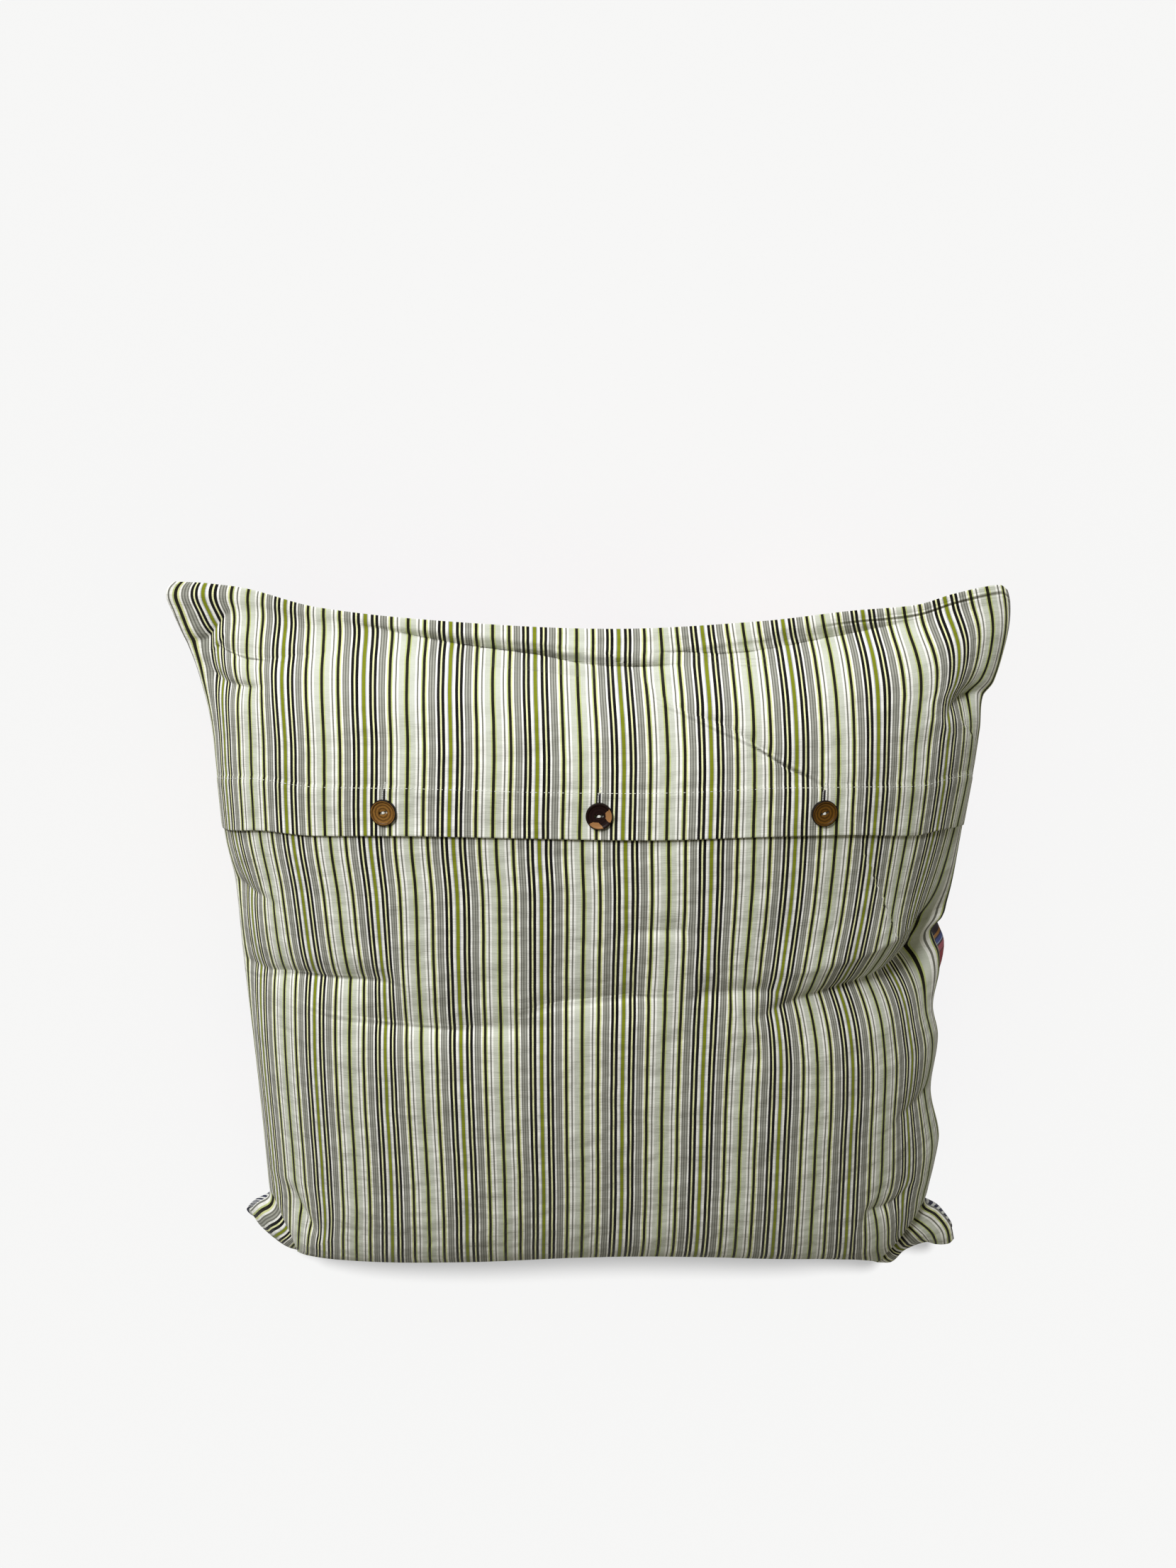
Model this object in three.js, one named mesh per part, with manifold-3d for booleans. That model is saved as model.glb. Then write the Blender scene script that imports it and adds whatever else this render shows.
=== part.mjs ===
// A square filled cushion that lies on its patchwork front, with its striped, buttoned back up.
// Millimetres. X runs along the hem, Y from the bottom seam to the top seam, Z up.
// A place on the cover is (s, t), each from -1 to 1 between the seams of the flat cloth.
import * as THREE from 'three';
import { mergeVertices } from 'three/addons/utils/BufferGeometryUtils.js';
import Module from 'manifold-3d';

const wasm = await Module();
wasm.setup();

// The cover is cut 650 mm square, seam to seam
const HALF_COVER = 325;
const SEAM_HEIGHT = 84;
const CROWN = 95;
const EAR_HALF_THICKNESS = 1.6;
const EAR_EDGE = 8;

// Over the crown the cloth runs level, and by the side seams it turns steep
const LEVEL_RUN = 1.11;
const STEEP_POWER = 7;
const ROUND_POWER = 2.3;
const ROUND_FULLNESS = 0.8;

// How sharply the seams' own bends die away from them, and where folds begin beside them
const SEAM_PULL_POWER = 3;
const SEAM_BEND_POWER = 8;
const FOLD_FREE = 22;
const FOLD_SHARPNESS = 1.6;
const FOLD_STEPS = 16;

// The front bulges down from the seams to a flat, whose edge lifts a little between its corners
const BELLY_POWER = 2;
const BELLY_FULLNESS = { across: 0.75, low: 0.7, high: 0.95 };
const REST_EDGE_LIFT = 1.2;

// The flap is the upper back panel, with a deep hem where it overlaps the lower one
const HEM_ALONG = 176;
const HEM_DEPTH = 38;
const CLOTH = 1.5;
const HEM_CLOTH = 2.3;
const PIECE_GAP = 0.3;

const BUTTON_RADIUS = 10;
const BUTTON_THICKNESS = 3;
const BUTTON_DISH = 0.7;
const BUTTON_RIM = 1.6;
const BUTTON_ROUND = 0.6;
const BUTTON_HOLE_RADIUS = 1.2;
const BUTTON_HOLE_SPACING = 4.4;
const BUTTON_HOLE_SIDES = 12;
const BUTTON_LIFT = 0.4;
const BUTTON_SIDES = 36;

// Rows of the mesh: below the hem edge, over the hem, and above it
const GRID = { across: 56, below: 34, hem: 4, above: 14 };

// The flat underneath reaches from seam to seam but for this many mesh lines
const REST_LINES = { side: 16, low: 10, high: 18 };

// Seams as they lie, in the order of the cover's edge: at runs from -1 to 1
const LEFT_SEAM = [
  { at: -1, x: -308, y: -272, z: 65 },
  { at: -0.88, x: -298, y: -259, z: 72 },
  { at: -0.8, x: -286, y: -247, z: 77 },
  { at: -0.72, x: -284, y: -229, z: 80 },
  { at: -0.3, x: -284, y: -106, z: 84 },
  { at: 0.05, x: -287, y: -5, z: 84 },
  { at: 0.31, x: -288, y: 67, z: 84 },
  { at: 0.44, x: -293, y: 106, z: 84 },
  { at: 0.69, x: -296, y: 201, z: 84 },
  { at: 0.8, x: -302, y: 240, z: 84 },
  { at: 0.87, x: -308, y: 262, z: 84 },
  { at: 0.9, x: -312, y: 272, z: 84 },
  { at: 0.95, x: -318, y: 289, z: 84 },
  { at: 0.975, x: -321, y: 300, z: 85 },
  { at: 0.99, x: -319, y: 307, z: 85 },
  { at: 1, x: -314, y: 311.5, z: 85 },
];
const RIGHT_SEAM = [
  { at: -1, x: 336, y: -303, z: 66 },
  { at: -0.93, x: 330, y: -284, z: 69 },
  { at: -0.86, x: 317, y: -267, z: 72 },
  { at: -0.79, x: 303, y: -254, z: 77 },
  { at: -0.72, x: 303, y: -232, z: 81 },
  { at: -0.62, x: 306, y: -205, z: 83 },
  { at: -0.52, x: 307, y: -177, z: 84 },
  { at: -0.34, x: 296, y: -132, z: 84 },
  { at: -0.17, x: 298, y: -80, z: 84 },
  { at: -0.08, x: 291, y: -50, z: 84 },
  { at: 0.02, x: 294, y: -17, z: 84 },
  { at: 0.06, x: 292, y: 0, z: 85 },
  { at: 0.09, x: 287, y: 11, z: 86 },
  { at: 0.12, x: 284, y: 22, z: 86 },
  { at: 0.15, x: 292, y: 32, z: 85 },
  { at: 0.22, x: 295, y: 45, z: 84 },
  { at: 0.31, x: 298, y: 67, z: 84 },
  { at: 0.44, x: 301, y: 106, z: 84 },
  { at: 0.67, x: 308, y: 192, z: 84 },
  { at: 0.75, x: 308, y: 221, z: 84 },
  { at: 0.78, x: 315, y: 232, z: 84 },
  { at: 0.85, x: 321, y: 260, z: 84 },
  { at: 0.91, x: 323, y: 279, z: 84 },
  { at: 0.97, x: 322, y: 295, z: 84 },
  { at: 1, x: 319, y: 305, z: 85 },
];
const BOTTOM_SEAM = [
  { at: -1, x: -308, y: -272, z: 65 },
  { at: -0.96, x: -299, y: -286, z: 68 },
  { at: -0.92, x: -288, y: -295, z: 71 },
  { at: -0.85, x: -272, y: -303, z: 75 },
  { at: -0.75, x: -247, y: -304, z: 78 },
  { at: -0.66, x: -221, y: -302, z: 80 },
  { at: -0.34, x: -109, y: -291, z: 82 },
  { at: 0, x: 5, y: -284, z: 82 },
  { at: 0.3, x: 107, y: -284, z: 82 },
  { at: 0.66, x: 235, y: -307, z: 81 },
  { at: 0.78, x: 275, y: -321, z: 76 },
  { at: 0.85, x: 290, y: -309, z: 73 },
  { at: 0.91, x: 309, y: -303, z: 70 },
  { at: 0.95, x: 320, y: -307, z: 68 },
  { at: 0.985, x: 332, y: -308, z: 66 },
  { at: 1, x: 336, y: -303, z: 66 },
];
const TOP_SEAM = [
  { at: -1, x: -314, y: 311.5, z: 85 },
  { at: -0.95, x: -301, y: 311, z: 85 },
  { at: -0.88, x: -285, y: 310, z: 86 },
  { at: -0.8, x: -258, y: 306, z: 86 },
  { at: -0.65, x: -207, y: 292, z: 87 },
  { at: -0.35, x: -108, y: 281, z: 88 },
  { at: 0.05, x: 19, y: 275, z: 88 },
  { at: 0.4, x: 131, y: 281, z: 88 },
  { at: 0.62, x: 200, y: 289, z: 87 },
  { at: 0.78, x: 251, y: 294, z: 87 },
  { at: 0.86, x: 277, y: 302, z: 86 },
  { at: 0.97, x: 312, y: 309, z: 85 },
  { at: 1, x: 319, y: 305, z: 85 },
];

// Where the cloth's rows start over the bottom seam, without the seam's own bends
const BOTTOM_LINE = [
  { at: -1, y: -272 },
  { at: -0.92, y: -295 },
  { at: -0.85, y: -303 },
  { at: -0.66, y: -302 },
  { at: -0.34, y: -291 },
  { at: 0, y: -284 },
  { at: 0.3, y: -286 },
  { at: 0.66, y: -304 },
  { at: 0.8, y: -306 },
  { at: 1, y: -303 },
];

// Where the stripes beside each side run, without the side seam's own bends
const SIDE_LINES = [
  { at: -1, left: -291, right: 307 },
  { at: -0.6, left: -284, right: 298 },
  { at: -0.2, left: -285, right: 294 },
  { at: 0.1, left: -287, right: 296 },
  { at: 0.31, left: -288, right: 298 },
  { at: 0.44, left: -293, right: 301 },
  { at: 0.69, left: -296, right: 307 },
  { at: 1, left: -316, right: 317 },
];

// The middle of the back from seam to seam: its place, and its rise as a share of the crown
const MIDDLE = [
  { at: -1, y: -286, rise: 0 },
  { at: -0.93, y: -285, rise: 0.24 },
  { at: -0.86, y: -275, rise: 0.44 },
  { at: -0.8, y: -264, rise: 0.61 },
  { at: -0.72, y: -243, rise: 0.76 },
  { at: -0.6, y: -207, rise: 0.87 },
  { at: -0.4, y: -143, rise: 0.96 },
  { at: -0.2, y: -78, rise: 1 },
  { at: 0.1, y: 20, rise: 1 },
  { at: 0.42, y: 124, rise: 0.94 },
  { at: 0.62, y: 185, rise: 0.82 },
  { at: 0.77, y: 226, rise: 0.6 },
  { at: 0.87, y: 248, rise: 0.3 },
  { at: 0.935, y: 260, rise: 0.09 },
  { at: 1, y: 275, rise: 0 },
];

// Main folds of the back. A path has places along X and Y and the fold's strength there.
// A fold is a trough where its depth is positive, with its width uphill and downhill.
// pull is how far it drags the cloth along X and Y, and reach is how far that spreads each way.
const FOLDS = [
  {
    name: 'flange_left', depth: 5, wide: [9, 12], pull: [0, 0], reach: [20, 20],
    path: [[-270, 300, 0], [-200, 282, 0.5], [-122, 272, 0.9], [-61, 264, 1], [16, 254, 0.9]],
  },
  {
    name: 'flange_right', depth: 6, wide: [9, 12], pull: [3, 0], reach: [10, 30],
    path: [[0, 255, 0.3], [71, 257, 1], [125, 261, 1], [184, 270, 0.9], [210, 274, 0.7], [262, 288, 0]],
  },
  {
    name: 'flap_slant', depth: 5, wide: [14, 9], pull: [0, 0], reach: [20, 20],
    path: [[40, 244, 0.6], [69, 228, 1], [126, 201, 1], [174, 174, 0]],
  },
  {
    name: 'left_crease', depth: 10, wide: [12, 20], pull: [8, -2], reach: [58, 18],
    path: [[-288, -2, 0.5], [-268, 0, 0.9], [-234, 8, 1], [-204, 10, 1], [-139, 15, 0]],
  },
  {
    name: 'middle_crease', depth: 7, wide: [12, 20], pull: [0, -3], reach: [25, 25],
    path: [[-195, -16, 0], [-175, -18, 0.6], [-107, -22, 1], [-85, -19, 0.9], [-10, -14, 0]],
  },
  {
    name: 'middle_right_crease', depth: 6, wide: [10, 16], pull: [0, -2], reach: [25, 25],
    path: [[-45, -2, 0], [-24, 4, 0.7], [39, 11, 1], [134, 12, 0.5], [180, 12, 0]],
  },
  {
    name: 'right_fold', depth: 24, wide: [16, 30], pull: [-24, -6], reach: [56, 50],
    path: [[296, 42, 1], [283, 14, 1], [249, 6, 0.85], [204, 4, 0.65], [163, -2, 0.4], [119, -21, 0]],
  },
  {
    name: 'right_fold_lip', depth: -7, wide: [24, 16], pull: [0, -4], reach: [30, 20],
    path: [[298, 90, 0.6], [276, 56, 1], [215, 38, 0.9], [155, 28, 0.4], [117, 15, 0]],
  },
  {
    name: 'right_side_crease', depth: 4, wide: [9, 12], pull: [0, 0], reach: [20, 20],
    path: [[296, -123, 1], [275, -127, 0.7], [245, -135, 0]],
  },
  {
    name: 'right_ear', depth: 7, wide: [10, 14], pull: [-4, 0], reach: [14, 20],
    path: [[316, 224, 1], [302, 225, 1], [281, 219, 0.5], [271, 207, 0]],
  },
  {
    name: 'left_ear', depth: 5, wide: [9, 12], pull: [0, 0], reach: [20, 20],
    path: [[-305, 244, 1], [-288, 241, 1], [-276, 237, 0.8], [-250, 236, 0]],
  },
  {
    name: 'left_kink', depth: 6, wide: [9, 12], pull: [2, 0], reach: [20, 20],
    path: [[-290, 76, 0.6], [-265, 68, 1], [-235, 67, 0]],
  },
  {
    name: 'lower_left_ear', depth: 11, wide: [8, 10], pull: [0, 0], reach: [20, 20],
    path: [[-287, -234, 0.8], [-274, -257, 1], [-267, -271, 1], [-264, -293, 0.6]],
  },
  {
    name: 'lower_left_crease', depth: 5, wide: [8, 10], pull: [0, 0], reach: [20, 20],
    path: [[-257, -198, 0], [-252, -223, 1], [-242, -244, 1], [-229, -260, 0]],
  },
  {
    name: 'lower_right_ear', depth: 11, wide: [8, 10], pull: [0, 0], reach: [20, 20],
    path: [[305, -246, 0.8], [288, -270, 1], [278, -288, 1], [270, -301, 0.6]],
  },
];

// Soft hollows and swells of the filling: place, radius and height
const SWELLS = [
  { x: -185, y: 205, radius: 70, height: 3 },
  { x: 205, y: 190, radius: 60, height: 4 },
  { x: -60, y: 95, radius: 90, height: -3 },
  { x: 90, y: 70, radius: 80, height: 4 },
  { x: -215, y: -60, radius: 80, height: 4 },
  { x: -20, y: -110, radius: 90, height: 3 },
  { x: 190, y: -110, radius: 90, height: 5 },
  { x: -120, y: -215, radius: 80, height: 3 },
  { x: 110, y: -225, radius: 70, height: 3 },
];

// A smooth curve through a column of a table
function smooth(rows, column, at) {
  let i = 0;
  while (i < rows.length - 2 && at > rows[i + 1].at) i += 1;
  const slope = (a, b) => (rows[b][column] - rows[a][column]) / (rows[b].at - rows[a].at);
  const before = Math.max(0, i - 1);
  const after = Math.min(rows.length - 1, i + 2);
  const step = rows[i + 1].at - rows[i].at;
  const f = (at - rows[i].at) / step;
  const g = 1 - f;
  const bend0 = slope(before, i + 1) * step;
  const bend1 = slope(i, after) * step;
  const straight = g * rows[i][column] + f * rows[i + 1][column];
  const rise = rows[i + 1][column] - rows[i][column];
  return straight + f * g * (g * (bend0 - rise) + f * (rise - bend1));
}

function lerp(a, b, f) {
  return a + (b - a) * f;
}

// How far the cloth has come over the crown from its steep side seams
function acrossShare(s) {
  return (LEVEL_RUN * s - (LEVEL_RUN - 1) * s ** STEEP_POWER + 1) / 2;
}

function roundSides(s) {
  return Math.max(0, 1 - Math.abs(s) ** ROUND_POWER) ** ROUND_FULLNESS;
}

// Place of (s, t) on the level sheet that spans the four seams
function seamSheet(s, t) {
  const side = s < 0 ? LEFT_SEAM : RIGHT_SEAM;
  const end = t < 0 ? BOTTOM_SEAM : TOP_SEAM;
  const nearSide = Math.abs(s) ** SEAM_PULL_POWER;
  const nearEnd = Math.abs(t) ** SEAM_PULL_POWER;
  const corner = Math.sign(s || 1);
  const endCorner = Math.sign(t || 1);
  const low = MIDDLE[0].y;
  const high = MIDDLE[MIDDLE.length - 1].y;
  const up = (smooth(MIDDLE, 'y', t) - low) / (high - low);
  const across = acrossShare(s);

  const start = smooth(BOTTOM_LINE, 'y', s);
  const endBend = t < 0 ? Math.abs(t) ** SEAM_BEND_POWER * (smooth(BOTTOM_SEAM, 'y', s) - start) : 0;
  const level = lerp(start, smooth(TOP_SEAM, 'y', s), up) + endBend;
  const sideLevel = lerp(smooth(BOTTOM_SEAM, 'y', corner), smooth(TOP_SEAM, 'y', corner), up);
  const y = level + nearSide * (smooth(side, 'y', t) - sideLevel);

  const bend = Math.abs(s) ** SEAM_BEND_POWER;
  const line = s < 0 ? 'left' : 'right';
  const placeAt = (along) => lerp(smooth(SIDE_LINES, 'left', along), smooth(SIDE_LINES, 'right', along), across)
    + bend * (smooth(side, 'x', along) - smooth(SIDE_LINES, line, along));
  const x = placeAt(t) + nearEnd * (smooth(end, 'x', s) - placeAt(endCorner));

  const sideLift = smooth(side, 'z', t) - SEAM_HEIGHT;
  const endLift = smooth(end, 'z', s) - SEAM_HEIGHT;
  const cornerLift = smooth(side, 'z', endCorner) - SEAM_HEIGHT;
  const lift = nearSide * sideLift + nearEnd * endLift - nearSide * nearEnd * cornerLift;
  return new THREE.Vector3(x, y, SEAM_HEIGHT + lift);
}

// Cloth between (s, t) and the nearest seam
function clothToSeam(s, t) {
  return Math.min(1 - Math.abs(s), 1 - Math.abs(t)) * HALF_COVER;
}

// Half thickness beside the seams, so that the ears are two layers of cloth and not a point
function earThickness(s, t) {
  return EAR_HALF_THICKNESS * Math.min(1, clothToSeam(s, t) / EAR_EDGE);
}

// Points along a fold's path, each with the fold's strength there as its third number
function foldCurve(fold) {
  const places = fold.path.map((place) => new THREE.Vector3(...place));
  return new THREE.CatmullRomCurve3(places).getPoints(FOLD_STEPS);
}

// Distance to a fold's curve, the side on which a place lies, and the fold's strength beside it
function besideFold(curve, x, y) {
  let best = { away: Infinity, strength: 0, uphill: true };
  for (let i = 0; i < FOLD_STEPS; i += 1) {
    const start = new THREE.Vector2(curve[i].x, curve[i].y);
    const run = new THREE.Vector2(curve[i + 1].x, curve[i + 1].y).sub(start);
    const reach = new THREE.Vector2(x, y).sub(start);
    const f = THREE.MathUtils.clamp(reach.dot(run) / run.lengthSq(), 0, 1);
    const away = reach.clone().addScaledVector(run, -f).length();
    const uphill = run.cross(reach) * run.x > 0;
    const strength = Math.max(0, lerp(curve[i].z, curve[i + 1].z, f));
    if (away < best.away) best = { away, strength, uphill };
  }
  return best;
}

const FOLD_CURVES = FOLDS.map(foldCurve);

// How much of a fold is left at a distance from it
function fade(away, reach) {
  return Math.exp(-((away / reach) ** FOLD_SHARPNESS));
}

// Shift of the back's cloth by the folds and swells at a place
function folded(x, y) {
  const shift = new THREE.Vector3();
  for (const [k, fold] of FOLDS.entries()) {
    const { away, strength, uphill } = besideFold(FOLD_CURVES[k], x, y);
    const side = uphill ? 0 : 1;
    const pulled = strength * fade(away, fold.reach[side]);
    shift.x += fold.pull[0] * pulled;
    shift.y += fold.pull[1] * pulled;
    shift.z -= fold.depth * strength * fade(away, fold.wide[side]);
  }
  for (const swell of SWELLS) {
    const away = Math.hypot(x - swell.x, y - swell.y) / swell.radius;
    shift.z += swell.height * Math.exp(-away * away);
  }
  return shift;
}

// The back's cloth, as filled, folded and settled
function back(s, t) {
  const place = seamSheet(s, t);
  const rise = smooth(MIDDLE, 'rise', t) * roundSides(s);
  const free = THREE.MathUtils.smoothstep(clothToSeam(s, t), 0, FOLD_FREE);
  const shift = folded(place.x, place.y).multiplyScalar(free);
  place.z += CROWN * rise + earThickness(s, t);
  return place.add(shift);
}

// How far the front has fallen from the seams to the flat, between 0 and 1
function belly(share, fullness) {
  return Math.max(0, 1 - share ** BELLY_POWER) ** fullness;
}

// The front's cloth underneath, pressed flat where it rests
function front(s, t) {
  const place = seamSheet(s, t);
  const side = Math.max(0, Math.abs(s) - REST.side) / (1 - REST.side);
  const low = Math.max(0, REST.low - t) / (REST.low + 1);
  const high = Math.max(0, t - REST.high) / (1 - REST.high);
  const alongFall = belly(low, BELLY_FULLNESS.low) * belly(high, BELLY_FULLNESS.high);
  const fall = belly(side, BELLY_FULLNESS.across) * alongFall;
  const onSide = Math.abs(s) === REST.side;
  const onEnd = t === REST.low || t === REST.high;
  const withinSides = Math.abs(s) <= REST.side;
  const withinEnds = t >= REST.low && t <= REST.high;
  const onRestEdge = onSide !== onEnd && withinSides && withinEnds;
  place.z = (place.z - earThickness(s, t)) * (1 - fall) + (onRestEdge ? REST_EDGE_LIFT : 0);
  return place;
}

// Outward normal of the back at (s, t)
function backNormal(s, t) {
  const step = 0.01;
  const clip = (value) => THREE.MathUtils.clamp(value, -1, 1);
  const along = back(s, clip(t + step)).sub(back(s, clip(t - step)));
  const across = back(clip(s + step), t).sub(back(clip(s - step), t));
  return across.cross(along).normalize();
}

// Mesh lines are closer together by the seams: 0 is even, 1 is the most
const SIDE_CROWDING = 0.35;
const END_CROWDING = 0.9;
const LOWER_CROWDING = 0.95;

// Mesh lines across the cover, closer together by the side seams
function linesAcross() {
  const lines = [];
  for (let i = 0; i <= GRID.across; i += 1) {
    const even = (2 * i) / GRID.across - 1;
    lines.push(lerp(even, Math.sin((Math.PI / 2) * even), SIDE_CROWDING));
  }
  return lines;
}

// Mesh lines from the bottom seam to the top seam, with one on each edge of the hem
function linesAlong() {
  const hemEdge = 1 - HEM_ALONG / HALF_COVER;
  const hemTop = 1 - (HEM_ALONG - HEM_DEPTH) / HALF_COVER;
  const lines = [-1];
  for (let j = 1; j <= GRID.below; j += 1) {
    lines.push(lerp(-1, hemEdge, 1 - (1 - j / GRID.below) ** LOWER_CROWDING));
  }
  for (let j = 1; j <= GRID.hem; j += 1) {
    lines.push(lerp(hemEdge, hemTop, j / GRID.hem));
  }
  for (let j = 1; j <= GRID.above; j += 1) {
    lines.push(lerp(hemTop, 1, Math.sin((Math.PI / 2) * (j / GRID.above) ** END_CROWDING)));
  }
  return lines;
}

const ACROSS_LINES = linesAcross();
const ALONG_LINES = linesAlong();

// Edges of the flat underneath, on mesh lines
const REST = {
  side: ACROSS_LINES[GRID.across - REST_LINES.side],
  low: ALONG_LINES[REST_LINES.low],
  high: ALONG_LINES[ALONG_LINES.length - 1 - REST_LINES.high],
};

function meshOf(name, points, faces, material) {
  const geometry = new THREE.BufferGeometry();
  const places = points.flatMap((point) => point.toArray());
  geometry.setAttribute('position', new THREE.Float32BufferAttribute(places, 3));
  geometry.setIndex(faces.flat());
  geometry.computeVertexNormals();
  const mesh = new THREE.Mesh(geometry, material);
  mesh.name = name;
  return mesh;
}

// The filled form: a fine back and a front of half as many lines, joined along the seam
function cushionBody(material) {
  const across = ACROSS_LINES.length - 1;
  const along = ALONG_LINES.length - 1;
  const points = [];
  const faces = [];
  for (const place of [back, front]) {
    for (const t of ALONG_LINES) {
      for (const s of ACROSS_LINES) points.push(place(s, t));
    }
  }
  const layerSize = (across + 1) * (along + 1);
  const onSeam = (i, j) => i === 0 || j === 0 || i === across || j === along;
  const backPoint = (i, j) => j * (across + 1) + i;
  const frontPoint = (i, j) => backPoint(i, j) + (onSeam(i, j) ? 0 : layerSize);
  for (let j = 0; j < along; j += 1) {
    for (let i = 0; i < across; i += 1) {
      const a = backPoint(i, j);
      const c = backPoint(i + 1, j + 1);
      faces.push([a, backPoint(i + 1, j), c], [a, c, backPoint(i, j + 1)]);
    }
  }
  for (let j = 0; j < along; j += 2) {
    for (let i = 0; i < across; i += 2) {
      const ring = frontRing(i, j, across, along);
      const start = ring.findIndex(([m, n]) => !onSeam(m, n));
      const turned = ring.map((_, k) => frontPoint(...ring[(start + k) % ring.length]));
      for (let k = 1; k < turned.length - 1; k += 1) faces.push([turned[0], turned[k + 1], turned[k]]);
    }
  }
  return meshOf('cushion_body', ...used(points, faces), material);
}

// Points round one coarse cell of the front, with the seam's extra point where it meets the seam
function frontRing(i, j, across, along) {
  const ring = [[i, j]];
  if (j === 0) ring.push([i + 1, j]);
  ring.push([i + 2, j]);
  if (i + 2 === across) ring.push([i + 2, j + 1]);
  ring.push([i + 2, j + 2]);
  if (j + 2 === along) ring.push([i + 1, j + 2]);
  ring.push([i, j + 2]);
  if (i === 0) ring.push([i, j + 1]);
  return ring;
}

// Only the points that faces use, numbered again
function used(points, faces) {
  const order = new Map();
  const kept = [];
  const number = (old) => {
    if (!order.has(old)) {
      order.set(old, kept.length);
      kept.push(points[old]);
    }
    return order.get(old);
  };
  const renumbered = faces.map((face) => face.map(number));
  return [kept, renumbered];
}

// The upper back panel: a sheet on the body, thicker over its hem
function buttonFlap(material) {
  const rows = ALONG_LINES.slice(GRID.below);
  const across = ACROSS_LINES.length - 1;
  const along = rows.length - 1;
  const points = [];
  const faces = [];
  for (const layer of [0, 1]) {
    rows.forEach((t, j) => {
      const thickness = j < GRID.hem ? HEM_CLOTH : CLOTH;
      const lift = PIECE_GAP + layer * thickness;
      for (const s of ACROSS_LINES) points.push(back(s, t).addScaledVector(backNormal(s, t), lift));
    });
  }
  const at = (layer, i, j) => (layer * (along + 1) + j) * (across + 1) + i;
  for (let j = 0; j < along; j += 1) {
    for (let i = 0; i < across; i += 1) {
      faces.push([at(0, i, j), at(0, i + 1, j + 1), at(0, i + 1, j)]);
      faces.push([at(0, i, j), at(0, i, j + 1), at(0, i + 1, j + 1)]);
      faces.push([at(1, i, j), at(1, i + 1, j), at(1, i + 1, j + 1)]);
      faces.push([at(1, i, j), at(1, i + 1, j + 1), at(1, i, j + 1)]);
    }
  }
  const rim = [];
  for (let i = 0; i < across; i += 1) rim.push([i, 0]);
  for (let j = 0; j < along; j += 1) rim.push([across, j]);
  for (let i = across; i > 0; i -= 1) rim.push([i, along]);
  for (let j = along; j > 0; j -= 1) rim.push([0, j]);
  rim.forEach(([i, j], k) => {
    const [m, n] = rim[(k + 1) % rim.length];
    faces.push([at(0, i, j), at(0, m, n), at(1, m, n)], [at(0, i, j), at(1, m, n), at(1, i, j)]);
  });
  return meshOf('button_flap', points, faces, material);
}

// A closed three.js mesh as a solid that can be cut
function solidOf(geometry) {
  const plain = geometry.clone();
  plain.deleteAttribute('normal');
  plain.deleteAttribute('uv');
  const merged = mergeVertices(plain, 1e-4);
  const vertProperties = new Float32Array(merged.attributes.position.array);
  const triVerts = new Uint32Array(merged.index.array);
  return new wasm.Manifold(new wasm.Mesh({ numProp: 3, vertProperties, triVerts }));
}

function geometryOf(solid) {
  const mesh = solid.getMesh();
  const geometry = new THREE.BufferGeometry();
  geometry.setAttribute('position', new THREE.BufferAttribute(mesh.vertProperties.slice(), 3));
  geometry.setIndex(new THREE.BufferAttribute(mesh.triVerts.slice(), 1));
  geometry.computeVertexNormals();
  return geometry;
}

// A turned disc with a rounded rim, a dished face and two sewing holes, its back on Z = 0
function buttonGeometry() {
  const inner = BUTTON_RADIUS - BUTTON_RIM;
  const profile = [
    [0, 0],
    [BUTTON_RADIUS - BUTTON_ROUND, 0],
    [BUTTON_RADIUS, BUTTON_ROUND],
    [BUTTON_RADIUS, BUTTON_THICKNESS - BUTTON_ROUND],
    [BUTTON_RADIUS - BUTTON_ROUND, BUTTON_THICKNESS],
    [inner, BUTTON_THICKNESS],
    [inner - BUTTON_DISH, BUTTON_THICKNESS - BUTTON_DISH],
    [0, BUTTON_THICKNESS - BUTTON_DISH],
  ].map(([radius, height]) => new THREE.Vector2(radius, height));
  const disc = new THREE.LatheGeometry(profile, BUTTON_SIDES);
  disc.rotateX(Math.PI / 2);
  let solid = solidOf(disc);
  const drill = 3 * BUTTON_THICKNESS;
  for (const side of [-1, 1]) {
    const radius = BUTTON_HOLE_RADIUS;
    const hole = new THREE.CylinderGeometry(radius, radius, drill, BUTTON_HOLE_SIDES);
    hole.rotateX(Math.PI / 2);
    hole.translate((side * BUTTON_HOLE_SPACING) / 2, 0, 0);
    solid = solid.subtract(solidOf(hole));
  }
  return geometryOf(solid);
}

// A button on the flap: its place across the cloth and over the hem edge, and how far its holes are turned
function button(name, across, aboveHem, turn, colour) {
  const material = new THREE.MeshStandardMaterial({ color: colour, roughness: 0.45, metalness: 0 });
  const mesh = new THREE.Mesh(buttonGeometry(), material);
  const s = across / HALF_COVER;
  const t = 1 - (HEM_ALONG - aboveHem) / HALF_COVER;
  const normal = backNormal(s, t);
  mesh.name = name;
  mesh.position.copy(back(s, t)).addScaledVector(normal, PIECE_GAP + HEM_CLOTH + BUTTON_LIFT);
  mesh.quaternion.setFromUnitVectors(new THREE.Vector3(0, 0, 1), normal);
  mesh.rotateZ(turn);
  return mesh;
}

const striped = new THREE.MeshStandardMaterial({ color: 0xc9cfba, roughness: 0.9, metalness: 0 });
const stripedFlap = new THREE.MeshStandardMaterial({ color: 0xd3d8c4, roughness: 0.9, metalness: 0 });

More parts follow.
